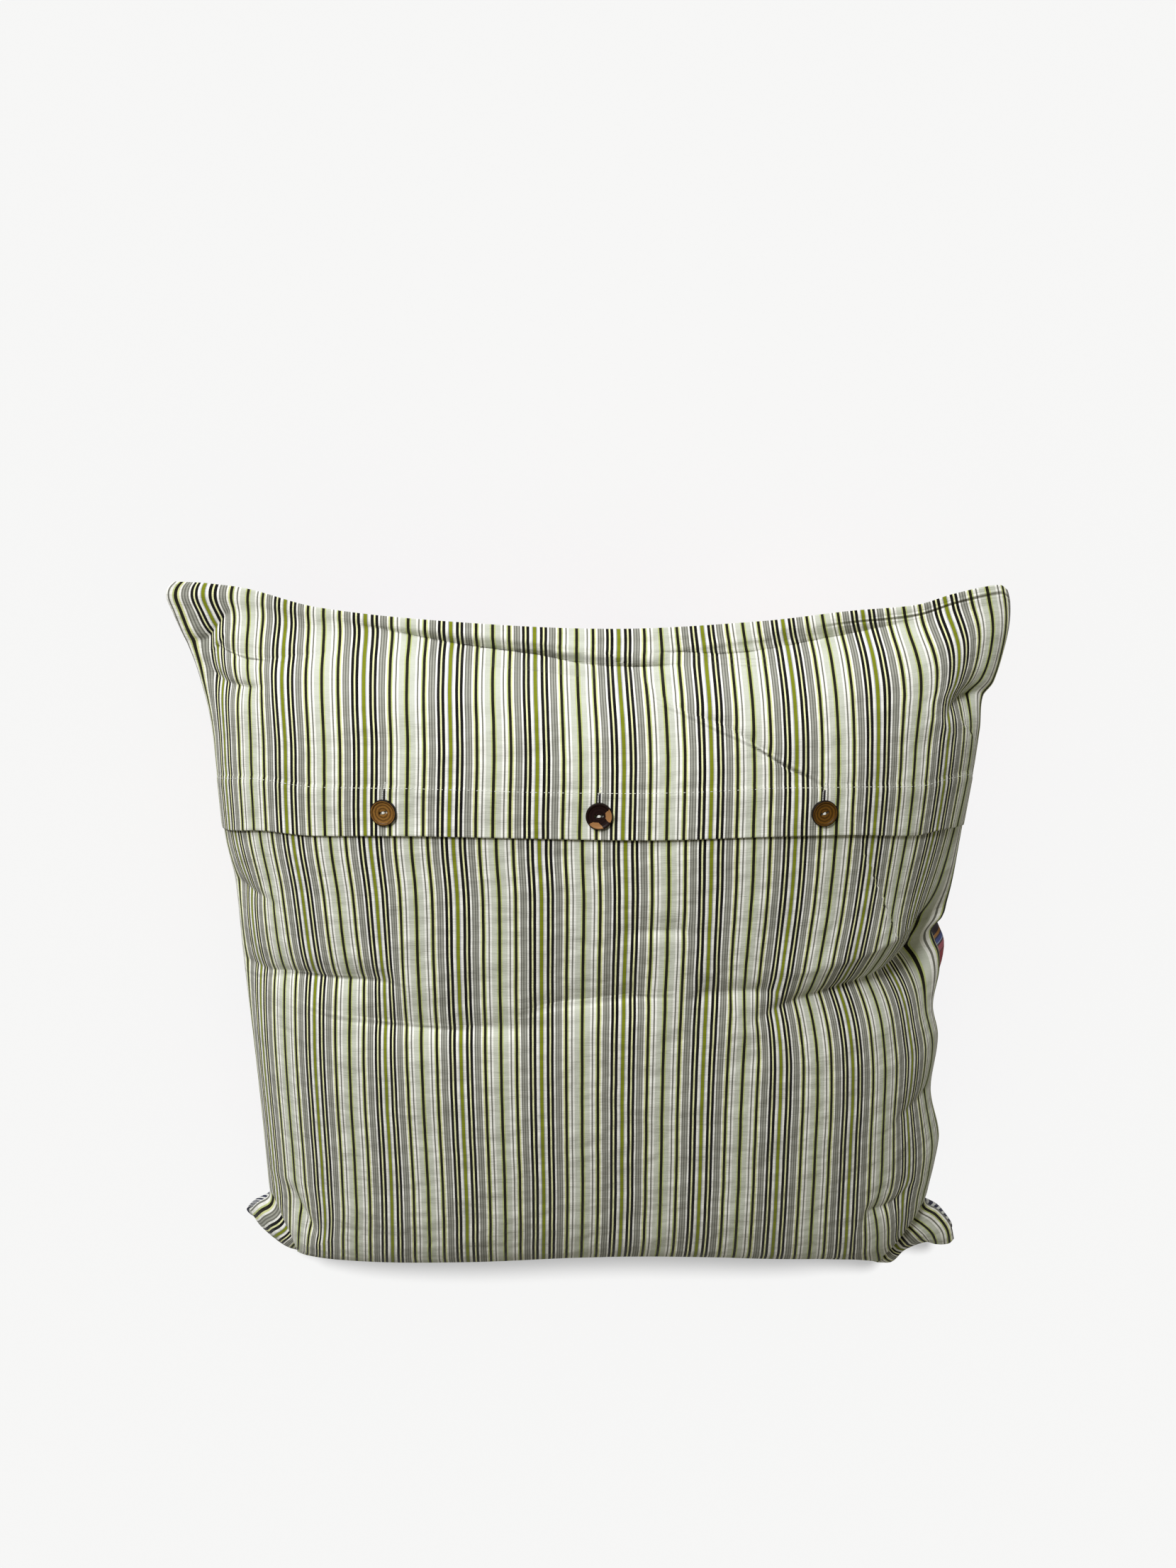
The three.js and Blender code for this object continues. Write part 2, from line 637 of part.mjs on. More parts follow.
const cushion = new THREE.Group();
cushion.add(cushionBody(striped));
cushion.add(buttonFlap(stripedFlap));
cushion.add(button('button_left', -155.9, 18.4, 0.25, 0x8a5a2c));
cushion.add(button('button_middle', 3.5, 19, 0.1, 0x3a1f14));
cushion.add(button('button_right', 170.3, 17.4, 0.26, 0x7a4a1c));

// The origin is the middle of the underside
const box = new THREE.Box3().setFromObject(cushion);
cushion.position.set(-(box.min.x + box.max.x) / 2, -(box.min.y + box.max.y) / 2, -box.min.z);
cushion.updateMatrixWorld(true);

export default cushion;
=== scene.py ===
"""Looks, light and camera of a square cushion that lies on its patchwork front, its striped back up.

Lengths are in millimetres until a mesh is made. A place on the cover is (s, t), each from -1 to 1
between the seams of the flat cloth, and a place on the cloth itself is (u, v), from its middle.
"""

import logging
import math
from collections.abc import Mapping, Sequence
from dataclasses import dataclass, field
from enum import Enum
from typing import Any

import bpy
import numpy as np
from mathutils import Matrix, Vector

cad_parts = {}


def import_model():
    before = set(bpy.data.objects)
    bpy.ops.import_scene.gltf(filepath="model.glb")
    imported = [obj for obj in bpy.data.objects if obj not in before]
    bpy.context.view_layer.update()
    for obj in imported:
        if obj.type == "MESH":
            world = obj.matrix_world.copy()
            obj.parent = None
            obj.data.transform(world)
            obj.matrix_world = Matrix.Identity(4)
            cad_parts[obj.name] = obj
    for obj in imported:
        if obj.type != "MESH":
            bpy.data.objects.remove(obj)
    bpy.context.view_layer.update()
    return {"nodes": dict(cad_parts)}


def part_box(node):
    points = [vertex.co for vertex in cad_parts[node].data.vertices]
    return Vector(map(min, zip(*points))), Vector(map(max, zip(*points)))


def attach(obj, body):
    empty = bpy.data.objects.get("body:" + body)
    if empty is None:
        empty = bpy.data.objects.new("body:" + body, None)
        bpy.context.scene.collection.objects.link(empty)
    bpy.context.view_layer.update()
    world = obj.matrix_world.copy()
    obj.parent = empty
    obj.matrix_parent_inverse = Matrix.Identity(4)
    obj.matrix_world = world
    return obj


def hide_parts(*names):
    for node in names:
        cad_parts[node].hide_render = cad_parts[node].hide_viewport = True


log = logging.getLogger("cushion")

MM = 0.001
CLOTH_UV = "cloth"
BODY = "root"
# How far a buttonhole's cut shows above the middle of its button
SLIT = 18.0

Colour = tuple[float, float, float]
Place = tuple[float, float, float]
# Plain colours in a row, and where each starts
Stops = Sequence[tuple[float, Colour]]


class Slot(str, Enum):
    """The record's material slots."""

    PATCHWORK = "patchwork_cotton"
    STRIPED = "striped_cotton"
    SHELL_BROWN = "shell_brown"
    SHELL_DARK = "shell_dark"
    SHELL_GOLDEN = "shell_golden"
    THREAD = "white_thread"


def linear(red: int, green: int, blue: int) -> Colour:
    """A colour as seen on a screen, from 0 to 255, as the shader's linear one, by the sRGB curve."""
    seen = (red / 255, green / 255, blue / 255)
    return tuple(((c + 0.055) / 1.055) ** 2.4 if c > 0.04 else c / 12.92 for c in seen)


def smoothstep(value: np.ndarray, low: float, high: float) -> np.ndarray:
    """Rises smoothly from 0 at low to 1 at high."""
    share = np.clip((value - low) / (high - low), 0, 1)
    return share * share * (3 - 2 * share)


def mix(first: Any, second: Any, share: Any) -> Any:
    """A value between two others."""
    return first + (second - first) * share


def smooth_column(at: Sequence[float], values: Sequence[float], where: np.ndarray) -> np.ndarray:
    """A smooth curve through a column of a table.

    Args:
        at: Where the rows lie, rising.
        values: The column's values.
        where: Places at which the curve is wanted.

    Returns:
        The curve's values at those places.
    """
    x, y = np.asarray(at, float), np.asarray(values, float)
    row = np.clip(np.searchsorted(x, where, side="left") - 1, 0, len(x) - 2)
    before, after = np.maximum(row - 1, 0), np.minimum(row + 2, len(x) - 1)
    step = x[row + 1] - x[row]
    f = (where - x[row]) / step
    g = 1 - f
    rise = y[row + 1] - y[row]
    start = (y[row + 1] - y[before]) / (x[row + 1] - x[before]) * step
    end = (y[after] - y[row]) / (x[after] - x[row]) * step
    return g * y[row] + f * y[row + 1] + f * g * (g * (start - rise) + f * (rise - end))


class Wire:
    """A value in a shader. Arithmetic on it adds Math nodes."""

    def __init__(self, shader: "Shader", socket: bpy.types.NodeSocket) -> None:
        """Keeps the socket that the value comes from."""
        self.shader = shader
        self.socket = socket

    def math(self, operation: str, *values: Any) -> "Wire":
        """A Math node over values."""
        return self.shader.node("ShaderNodeMath", {"operation": operation}, dict(enumerate(values)))

    def __add__(self, other: Any) -> "Wire":
        """The sum."""
        return self.math("ADD", self, other)

    __radd__ = __add__

    def __sub__(self, other: Any) -> "Wire":
        """The difference."""
        return self.math("SUBTRACT", self, other)

    def __rsub__(self, other: Any) -> "Wire":
        """The difference, from the other side."""
        return self.math("SUBTRACT", other, self)

    def __mul__(self, other: Any) -> "Wire":
        """The product."""
        return self.math("MULTIPLY", self, other)

    __rmul__ = __mul__

    def __truediv__(self, other: Any) -> "Wire":
        """The quotient."""
        return self.math("DIVIDE", self, other)

    def __rtruediv__(self, other: Any) -> "Wire":
        """The quotient, from the other side."""
        return self.math("DIVIDE", other, self)

    def __gt__(self, other: Any) -> "Wire":
        """1 where this is more than the other, else 0."""
        return self.math("GREATER_THAN", self, other)

    def __lt__(self, other: Any) -> "Wire":
        """1 where this is less than the other, else 0."""
        return self.math("LESS_THAN", self, other)

    def floor(self) -> "Wire":
        """The whole number below."""
        return self.math("FLOOR", self)

    def fract(self) -> "Wire":
        """What is left over that whole number."""
        return self.math("FRACT", self)

    def away(self) -> "Wire":
        """The size without its sign."""
        return self.math("ABSOLUTE", self)

    def root(self) -> "Wire":
        """The square root."""
        return self.math("SQRT", self)

    def wave(self) -> "Wire":
        """The sine."""
        return self.math("SINE", self)

    def ping_pong(self, reach: float) -> "Wire":
        """Runs from 0 to reach and back again."""
        return self.math("PINGPONG", self, reach)


class Shader:
    """A material under construction, with one principled shader."""

    def __init__(self, name: str, settings: Mapping[str, Any]) -> None:
        """Starts the material.

        Args:
            name: The material's name.
            settings: Values for the principled shader's own sockets.
        """
        self.material = bpy.data.materials.new(name)
        self.material.use_nodes = True
        self.tree = self.material.node_tree
        self.surface = self.tree.nodes["Principled BSDF"]
        for socket, value in settings.items():
            self.surface.inputs[socket].default_value = value

    def node(
        self, kind: str, settings: Mapping[str, Any], sockets: Mapping[Any, Any], out: Any = 0
    ) -> Wire:
        """Adds a node.

        Args:
            kind: The node's type.
            settings: Its own settings. stops are a colour ramp's colours.
            sockets: Values or wires for its inputs, by index or name.
            out: The output that is wanted, by index or name.

        Returns:
            That output.
        """
        made = self.tree.nodes.new(kind)
        for name, value in settings.items():
            if name == "stops":
                self._set_stops(made.color_ramp, value)
            else:
                setattr(made, name, value)
        for name, value in sockets.items():
            if isinstance(value, Wire):
                self.tree.links.new(value.socket, made.inputs[name])
            else:
                made.inputs[name].default_value = value
        return Wire(self, made.outputs[out])

    @staticmethod
    def _set_stops(ramp: bpy.types.ColorRamp, stops: Stops) -> None:
        """Gives a colour ramp its plain colours.

        Args:
            ramp: The ramp.
            stops: Its colours, with no blend between them.
        """
        ramp.interpolation = "CONSTANT"
        elements = ramp.elements
        while len(elements) > 1:
            elements.remove(elements[-1])
        elements[0].position = stops[0][0]
        elements[0].color = (*stops[0][1], 1)
        for position, colour in stops[1:]:
            elements.new(position).color = (*colour, 1)

    def feed(self, socket: str, value: Wire) -> None:
        """Links a value to the principled shader."""
        self.tree.links.new(value.socket, self.surface.inputs[socket])

    def ramp(self, factor: Wire, stops: Stops) -> Wire:
        """A row of plain colours over a factor from 0 to 1."""
        return self.node("ShaderNodeValToRGB", {"stops": stops}, {0: factor})

    def blend(self, share: Any, first: Any, second: Any) -> Wire:
        """A colour between two others.

        Args:
            share: How much of the second colour there is, from 0 to 1.
            first: The first colour, as a wire or as plain numbers.
            second: The second one.

        Returns:
            The mixed colour.
        """
        colours = [value if isinstance(value, Wire) else (*value, 1) for value in (first, second)]
        sockets = {0: share, 6: colours[0], 7: colours[1]}
        return self.node("ShaderNodeMix", {"data_type": "RGBA"}, sockets, 2)

    def brighten(self, colour: Wire, times: Wire) -> Wire:
        """A colour made lighter or darker."""
        return self.node("ShaderNodeVectorMath", {"operation": "SCALE"}, {0: colour, "Scale": times})

    def vector(self, x: Any, y: Any, z: Any = 0.0) -> Wire:
        """A vector from three values."""
        return self.node("ShaderNodeCombineXYZ", {}, {0: x, 1: y, 2: z})

    def noise(self, place: Wire, detail: float = 2.0) -> Wire:
        """Smooth noise about 0.5, one blotch to each unit of the place."""
        return self.node("ShaderNodeTexNoise", {}, {"Vector": place, "Scale": 1.0, "Detail": detail})

    def chance(self, place: Wire) -> Wire:
        """A number from 0 to 1 that is picked anew for each place."""
        return self.node("ShaderNodeTexWhiteNoise", {"noise_dimensions": "3D"}, {"Vector": place})

    def cloth(self) -> tuple[Wire, Wire]:
        """The place on the flat cloth.

        Returns:
            The place across and the place along, in millimetres.
        """
        flat = self.node("ShaderNodeUVMap", {"uv_map": CLOTH_UV}, {})
        across = self.node("ShaderNodeSeparateXYZ", {}, {0: flat}, 0)
        along = self.node("ShaderNodeSeparateXYZ", {}, {0: flat}, 1)
        return across / MM, along / MM

    def emboss(self, height: Wire) -> None:
        """Raises the surface by a height in millimetres."""
        sockets = {"Height": height, "Distance": MM, "Strength": 1.0}
        self.feed("Normal", self.node("ShaderNodeBump", {}, sockets))


@dataclass(frozen=True)
class Grain:
    """Noise over a surface.

    across and along are its blotches to a millimetre. light is how much it brightens the colour, and
    depth how much it raises the surface, in millimetres.
    """

    across: float
    along: float
    detail: float = 2.0
    light: float = 0.0
    depth: float = 0.0

    def on(self, u: Wire, v: Wire) -> Wire:
        """The noise at a place, from 0 to 1."""
        shader = u.shader
        return shader.noise(shader.vector(u * self.across, v * self.along), self.detail)


OLIVE = linear(130, 139, 22)
LILAC = linear(188, 189, 200)
WHITE = linear(254, 254, 248)
BLACK = linear(7, 4, 8)
PALE_YELLOW = linear(244, 246, 188)
GREY = linear(124, 124, 116)
LIGHT_GREY = linear(174, 175, 165)
SOFT_YELLOW = linear(226, 230, 166)
YELLOW_GREEN = linear(200, 210, 140)
DARK_OLIVE = linear(27, 23, 13)
GREY_GREEN = linear(213, 217, 203)


@dataclass(frozen=True)
class Crease:
    """A sharp crease along a curve over the cloth, through (u, v) with a slope and a bend.

    Its step from one side to the other is about 0.57 of depth.
    """

    u: float
    v: float
    slope: float
    bend: float
    half_length: float
    half_width: float
    depth: float

    def height(self, u: Wire, v: Wire) -> Wire:
        """How the crease raises the cloth.

        Args:
            u: The place across.
            v: The place along.

        Returns:
            The height in millimetres: above 0 on the side of the top seam, below 0 on the other.
        """
        along = u - self.u
        off = (v - self.v - along * (along * self.bend + self.slope)) / self.half_width
        near = off.math("MINIMUM", off.math("MAXIMUM", off, -1.0), 1.0)
        room = 1 - near * near
        fade = along.math("MAXIMUM", 1 - (along / self.half_length).away(), 0.0).root()
        return near * room * room * fade * self.depth


# The flap's slant crease, two under the flange, one at its right, one in each top corner, and three
# along the lower panel's folds
CREASES = (
    Crease(94, 229.0, -0.542, -0.00012, 80, 4.5, 3.6),
    Crease(-18, 294.0, -0.08, 0.0, 105, 19.0, 14.0),
    Crease(-45, 278.0, -0.1, -0.0003, 55, 2.6, 1.3),
    Crease(117, 284.0, -0.05, 0.0034, 70, 3.5, 2.8),
    Crease(-254, 270.9, 0.037, 0.0059, 52, 3.0, 1.6),
    Crease(258, 317.0, 0.034, 0.00016, 80, 2.8, 3.0),
    Crease(-236, 30.2, 0.109, -0.00166, 95, 4.0, 1.6),
    Crease(-168, -5.0, -0.083, 0.00038, 90, 4.0, 1.6),
    Crease(-2, 14.5, 0.133, -0.00006, 62, 4.0, 1.6),
)


@dataclass(frozen=True)
class StripedCotton:
    """Woven cotton whose stripes run along the cloth, the same on both sides of each repeat.

    wobble is how far the stripes drift sideways. slits are the cut buttonholes: the place across, and
    where they start and end along the cloth. Each cut is filled with painted shade, the colour inside.
    """

    repeat: float = 64.0
    first_olive: float = -300.0
    drift: Grain = Grain(0.02, 0.03)
    wobble: float = 0.35
    slits: tuple[Place, ...] = ()
    slit_half_width: float = 0.85
    # Painted shade that fills each buttonhole's cut
    inside: Colour = linear(30, 26, 28)
    least_light: float = 0.755
    weft: Grain = Grain(0.11, 1.5, 3.0, light=0.24, depth=0.25)
    warp: Grain = Grain(2.2, 0.05, light=0.12, depth=0.25)
    worn: Grain = Grain(0.02, 0.02, light=0.08)
    slubs: Grain = Grain(0.05, 0.5, 3.0, light=0.07, depth=0.12)
    dents: Grain = Grain(0.028, 0.034, depth=5.5)
    wrinkles: Grain = Grain(0.03, 0.13, depth=0.65)
    # From the middle of the olive stripe to the middle of the dark one: where each yarn starts
    yarns: tuple[tuple[float, Colour], ...] = (
        (0.0, OLIVE),
        (1.35, LILAC),
        (2.1, WHITE),
        (4.0, BLACK),
        (6.2, PALE_YELLOW),
        (7.4, BLACK),
        (9.6, WHITE),
        (10.9, GREY),
        (11.9, LIGHT_GREY),
        (13.1, GREY),
        (14.1, LIGHT_GREY),
        (14.9, GREY),
        (15.9, WHITE),
        (17.2, SOFT_YELLOW),
        (18.3, DARK_OLIVE),
        (20.5, YELLOW_GREEN),
        (21.4, WHITE),
        (23.3, GREY),
        (24.5, WHITE),
        (26.0, GREY_GREEN),
        (29.8, YELLOW_GREEN),
        (30.8, DARK_OLIVE),
    )

    def material(self) -> bpy.types.Material:
        """Makes the striped cotton's material.

        Returns:
            The material.
        """
        settings = {"Roughness": 0.88, "Sheen Weight": 0.12, "Specular IOR Level": 0.25}
        shader = Shader("striped_cotton", settings)
        u, v = shader.cloth()
        drift = (self.drift.on(u, v) - 0.5) * (2 * self.wobble)
        half = self.repeat / 2
        share = (u - self.first_olive + drift).ping_pong(half) / half
        stripes = shader.ramp(share, [(start / half, colour) for start, colour in self.yarns])
        light, height = self.least_light, 0.0
        for grain in (self.weft, self.warp, self.worn, self.slubs, self.dents, self.wrinkles):
            noise = grain.on(u, v)
            if grain.light:
                light = light + noise * grain.light
            if grain.depth:
                height = height + noise * grain.depth
        shade = shader.brighten(stripes, light)
        # Paints shade into the buttonholes' cuts
        for across, low, high in self.slits:
            cut = ((u - across).away() < self.slit_half_width) * (v > low) * (v < high)
            shade = shader.blend(cut, shade, self.inside)
        shader.feed("Base Color", shade)
        for crease in CREASES:
            height = height + crease.height(u, v)
        shader.emboss(height)
        return shader.material


@dataclass(frozen=True)
class PatchworkCotton:
    """Plain, banded and striped cotton pieces sewn into square blocks.

    A block has bands, each band may have lines, and each piece's colour is drawn by its place.
    """

    block: float = 108.4
    # Blocks from the cloth's middle to its edge
    blocks: int = 3
    bands: int = 5
    lines: int = 3
    unturned_share: float = 0.5
    plain_share: float = 0.25
    unlined_share: float = 0.55
    # What sets the draws of bands, of lines and of colours apart
    band_draw: float = 7.0
    line_draw: float = 11.0
    colour_draw: float = 3.0
    # How far apart the colours of a block's bands, of its row and of its lines are drawn
    draw_steps: Place = (0.37, 1.7, 0.61)
    seam_width: float = 1.4
    seam_depth: float = 0.72
    weave: Grain = Grain(1.6, 1.6, depth=0.108)
    flecks: Grain = Grain(0.9, 0.9, 3.0, light=0.3)
    least_light: float = 0.8
    edge_strip: float = 268.0
    corner: float = 240.0
    dash: float = 8.0
    dark_share: float = 0.55
    dash_dark: Colour = linear(20, 24, 62)
    dash_pale: Colour = linear(226, 228, 226)
    colours: tuple[tuple[float, Colour], ...] = (
        (0.0, linear(112, 24, 34)),
        (0.1, linear(22, 26, 62)),
        (0.2, linear(176, 124, 46)),
        (0.29, linear(58, 86, 138)),
        (0.38, linear(166, 84, 96)),
        (0.47, linear(30, 24, 28)),
        (0.55, linear(206, 202, 188)),
        (0.63, linear(146, 28, 40)),
        (0.72, linear(96, 118, 158)),
        (0.8, linear(66, 30, 58)),
        (0.88, linear(186, 96, 40)),
        (0.95, linear(74, 92, 62)),
    )
    # The woven bands that show at the right side: where each starts along the cloth
    right_bands: tuple[tuple[float, Colour], ...] = (
        (-60.0, linear(66, 30, 58)),
        (-6.0, linear(176, 26, 48)),
        (17.0, linear(96, 14, 26)),
        (18.2, linear(190, 84, 104)),
        (22.4, linear(62, 18, 30)),
        (23.6, linear(150, 168, 206)),
        (24.4, linear(58, 74, 150)),
        (27.6, linear(30, 30, 78)),
        (28.8, linear(176, 118, 38)),
        (31.4, linear(40, 16, 40)),
        (60.0, linear(146, 28, 40)),
    )

    def _blocks(self, shader: Shader, u: Wire, v: Wire) -> tuple[Wire, Wire]:
        """The general pieces.

        Args:
            shader: The material.
            u: The place across.
            v: The place along.

        Returns:
            The pieces' colour, and 1 where a seam runs.
        """
        across = (u + self.blocks * self.block) / self.block
        along = (v + self.blocks * self.block) / self.block
        column, row = across.floor(), along.floor()
        turned = shader.chance(shader.vector(column, row)) > self.unturned_share
        banded = shader.chance(shader.vector(column, row, self.band_draw)) > self.plain_share
        side = mix(along.fract(), across.fract(), turned)
        other = mix(across.fract(), along.fract(), turned)
        band = (side * self.bands).floor() * banded
        lined = shader.chance(shader.vector(column + band, row, self.line_draw)) > self.unlined_share
        line = (side * self.bands * self.lines).floor() * lined * banded
        by_band, by_row, by_line = self.draw_steps
        draw = line * by_line + self.colour_draw
        place = shader.vector(column + band * by_band, row * by_row + band, draw)
        colour = shader.ramp(shader.chance(place), self.colours)
        edge = 0.5 * self.seam_width / self.block
        near_side = (side - 0.5).away() > 0.5 - edge
        near_other = (other - 0.5).away() > 0.5 - edge
        near_band = ((side * self.bands).fract() - 0.5).away() > 0.5 - edge * self.bands
        seam = near_side.math("MAXIMUM", near_side, near_other)
        return colour, seam.math("MAXIMUM", seam, near_band * banded)

    def material(self) -> bpy.types.Material:
        """Makes the patchwork's material.

        Returns:
            The material.
        """
        settings = {"Roughness": 0.86, "Sheen Weight": 0.15, "Specular IOR Level": 0.25}
        shader = Shader("patchwork_cotton", settings)
        u, v = shader.cloth()
        colour, seam = self._blocks(shader, u, v)
        first, last = self.right_bands[0][0], self.right_bands[-1][0]
        stops = [((start - first) / (last - first), shade) for start, shade in self.right_bands]
        along = (v - first) / (last - first)
        at_side = (u > self.edge_strip) * (along > 0.0) * (along < 1.0)
        colour = shader.blend(at_side, colour, shader.ramp(along, stops))
        dark = (v / self.dash).fract() > 1 - self.dark_share
        dashes = shader.blend(dark, self.dash_pale, self.dash_dark)
        at_corner = (u.away() > self.edge_strip) * (v < -self.corner)
        colour = shader.blend(at_corner, colour, dashes)
        light = self.flecks.on(u, v) * self.flecks.light + self.least_light
        shader.feed("Base Color", shader.brighten(colour, light))
        shader.emboss(self.weave.on(u, v) * self.weave.depth - seam * self.seam_depth)
        return shader.material


@dataclass(frozen=True)
class CoconutShell:
    """Turned coconut shell, with rings of grain, and painted shade round its rim.

    spots are natural pale patches: a middle, and a radius, in millimetres from the disc's middle.
    """

    name: Slot
    dark: Colour
    light: Colour
    pale: Colour
    spots: tuple[Place, ...] = ()
    spot_wobble: float = 3.0
    # How fast the rings follow each other, in radians to a millimetre
    rings: float = 2.6
    ring_wobble: float = 4.0
    ring_share: float = 0.6
    ring_depth: float = 0.04
    uneven: Grain = Grain(0.35, 0.35, 3.0)
    grain: Grain = Grain(0.9, 1.6, 3.0, depth=0.04)
    # Painted shade: a dark band from the radius below out to the rim, standing for the shadow at the
    # button's edge
    edge: Colour = linear(26, 16, 9)
    painted_shade_radius: float = 9.3

    def material(self) -> bpy.types.Material:
        """Makes the shell's material.

        Returns:
            The material.
        """
        shader = Shader(self.name.value, {"Roughness": 0.5, "Specular IOR Level": 0.22})
        u, v = shader.cloth()
        away = (u * u + v * v).root()
        uneven, grain = self.uneven.on(u, v), self.grain.on(u, v)
        ring = ((away * self.rings + uneven * self.ring_wobble).wave() + 1) * 0.5
        colour = shader.blend(mix(grain, ring, self.ring_share), self.dark, self.light)
        for x, y, radius in self.spots:
            off = ((u - x) * (u - x) + (v - y) * (v - y)).root()
            inside = off + (uneven - 0.5) * self.spot_wobble < radius
            colour = shader.blend(inside, colour, self.pale)
        # Paints the shade round the rim
        colour = shader.blend(away > self.painted_shade_radius, colour, self.edge)
        shader.feed("Base Color", colour)
        shader.emboss(grain * self.grain.depth + ring * self.ring_depth)
        return shader.material


@dataclass(frozen=True)
class SewingThread:
    """Matt white cotton thread, twisted."""

    colour: Colour = linear(238, 240, 234)
    # Blotches of fuzz to a metre
    fuzz: float = 1500.0
    fuzz_light: float = 0.3
    fuzz_depth: float = 0.1
    least_light: float = 0.85

    def material(self) -> bpy.types.Material:
        """Makes the thread's material.

        Returns:
            The material.
        """
        shader = Shader("white_thread", {"Roughness": 0.8, "Sheen Weight": 0.2})
        spot = shader.node("ShaderNodeTexCoord", {}, {}, "Object")
        fuzz = shader.node("ShaderNodeTexNoise", {}, {"Vector": spot, "Scale": self.fuzz, "Detail": 2.0})
        plain = shader.blend(0.0, self.colour, self.colour)
        light = fuzz * self.fuzz_light + self.least_light
        shader.feed("Base Color", shader.brighten(plain, light))
        shader.emboss(fuzz * self.fuzz_depth)
        return shader.material


@dataclass(frozen=True)
class SeamPlace:
    """A place on a seam as it lies. at runs from -1 to 1 along the seam."""

    at: float
    x: float
    y: float
    z: float


@dataclass(frozen=True)
class LinePlace:
    """Where the stripes beside each side run, without the side seam's own bends."""

    at: float
    left: float
    right: float


@dataclass(frozen=True)
class LevelPlace:
    """Where the cloth's rows start over the bottom seam, without the seam's own bends."""

    at: float
    y: float


@dataclass(frozen=True)
class MiddlePlace:
    """A place on the back's middle line, and its rise as a share of the crown."""

    at: float
    y: float
    rise: float


@dataclass(frozen=True)
class Slide:
    """Where the weave has slid to the right, round a place on the flat cloth."""

    u: float
    v: float
    wide: float
    long: float
    amount: float

    def at(self, u: np.ndarray, v: np.ndarray) -> np.ndarray:
        """How far the weave has slid at each place."""
        across, along = (u - self.u) / self.wide, (v - self.v) / self.long
        return self.amount * np.exp(-across * across - along * along)


@dataclass(frozen=True)
class Swell:
    """A soft hollow or swell of the filling."""

    x: float
    y: float
    radius: float
    height: float

    def lift(self, x: np.ndarray, y: np.ndarray) -> np.ndarray:
        """How much it lifts the cloth."""
        away = np.hypot(x - self.x, y - self.y) / self.radius
        return self.height * np.exp(-away * away)


@dataclass(frozen=True)
class Fold:
    """A trough of the cloth, or a ridge where its depth is negative.

    path holds places along X and Y with the fold's strength there. wide is its width uphill and
    downhill, pull how far it drags the cloth along X and Y, and reach how far the pull spreads.
    """

    path: tuple[Place, ...]
    depth: float
    wide: tuple[float, float]
    pull: tuple[float, float] = (0.0, 0.0)
    reach: tuple[float, float] = (20.0, 20.0)
    sharpness: float = 1.05
    steps: int = 24

    def line(self) -> np.ndarray:
        """The fold's line.

        Returns:
            Points of a smooth curve through the path.
        """
        rows = np.arange(len(self.path))
        at = np.linspace(0, len(self.path) - 1, self.steps + 1)
        return np.stack([smooth_column(rows, column, at) for column in zip(*self.path)], -1)

    def shift(self, x: np.ndarray, y: np.ndarray) -> np.ndarray:
        """How the fold moves the cloth.

        Args:
            x: Places along X.
            y: Places along Y.

        Returns:
            The shift along X, Y and Z at each place.
        """
        line = self.line()
        best = np.full(x.shape, np.inf)
        strength, uphill = np.zeros(x.shape), np.ones(x.shape, bool)
        for start, end in zip(line[:-1], line[1:]):
            run = end[:2] - start[:2]
            dx, dy = x - start[0], y - start[1]
            f = np.clip((dx * run[0] + dy * run[1]) / (run @ run), 0, 1)
            away = np.hypot(dx - f * run[0], dy - f * run[1])
            nearer = away < best
            best = np.where(nearer, away, best)
            strength = np.where(nearer, np.maximum(0, mix(start[2], end[2], f)), strength)
            uphill = np.where(nearer, (run[0] * dy - run[1] * dx) * run[0] > 0, uphill)
        wide = np.where(uphill, *self.wide)
        reach = np.where(uphill, *self.reach)
        pulled = strength * np.exp(-((best / reach) ** self.sharpness))
        sunk = strength * np.exp(-((best / wide) ** self.sharpness))
        return np.stack([self.pull[0] * pulled, self.pull[1] * pulled, -self.depth * sunk], -1)


# The seams as they lie: the sides from the bottom up, the ends from the left to the right
LEFT_SEAM = (
    SeamPlace(-1, -308, -272, 65),
    SeamPlace(-0.88, -298, -259, 72),
    SeamPlace(-0.8, -286, -247, 77),
    SeamPlace(-0.72, -284, -229, 80),
    SeamPlace(-0.3, -284, -106, 84),
    SeamPlace(0.05, -287, -5, 84),
    SeamPlace(0.31, -288, 67, 84),
    SeamPlace(0.44, -293, 106, 84),
    SeamPlace(0.69, -296, 201, 84),
    SeamPlace(0.8, -302, 240, 84),
    SeamPlace(0.87, -308, 262, 84),
    SeamPlace(0.9, -312, 272, 84),
    SeamPlace(0.95, -318, 289, 84),
    SeamPlace(0.975, -321, 300, 85),
    SeamPlace(0.99, -319, 307, 85),
    SeamPlace(1, -314, 311.5, 85),
)
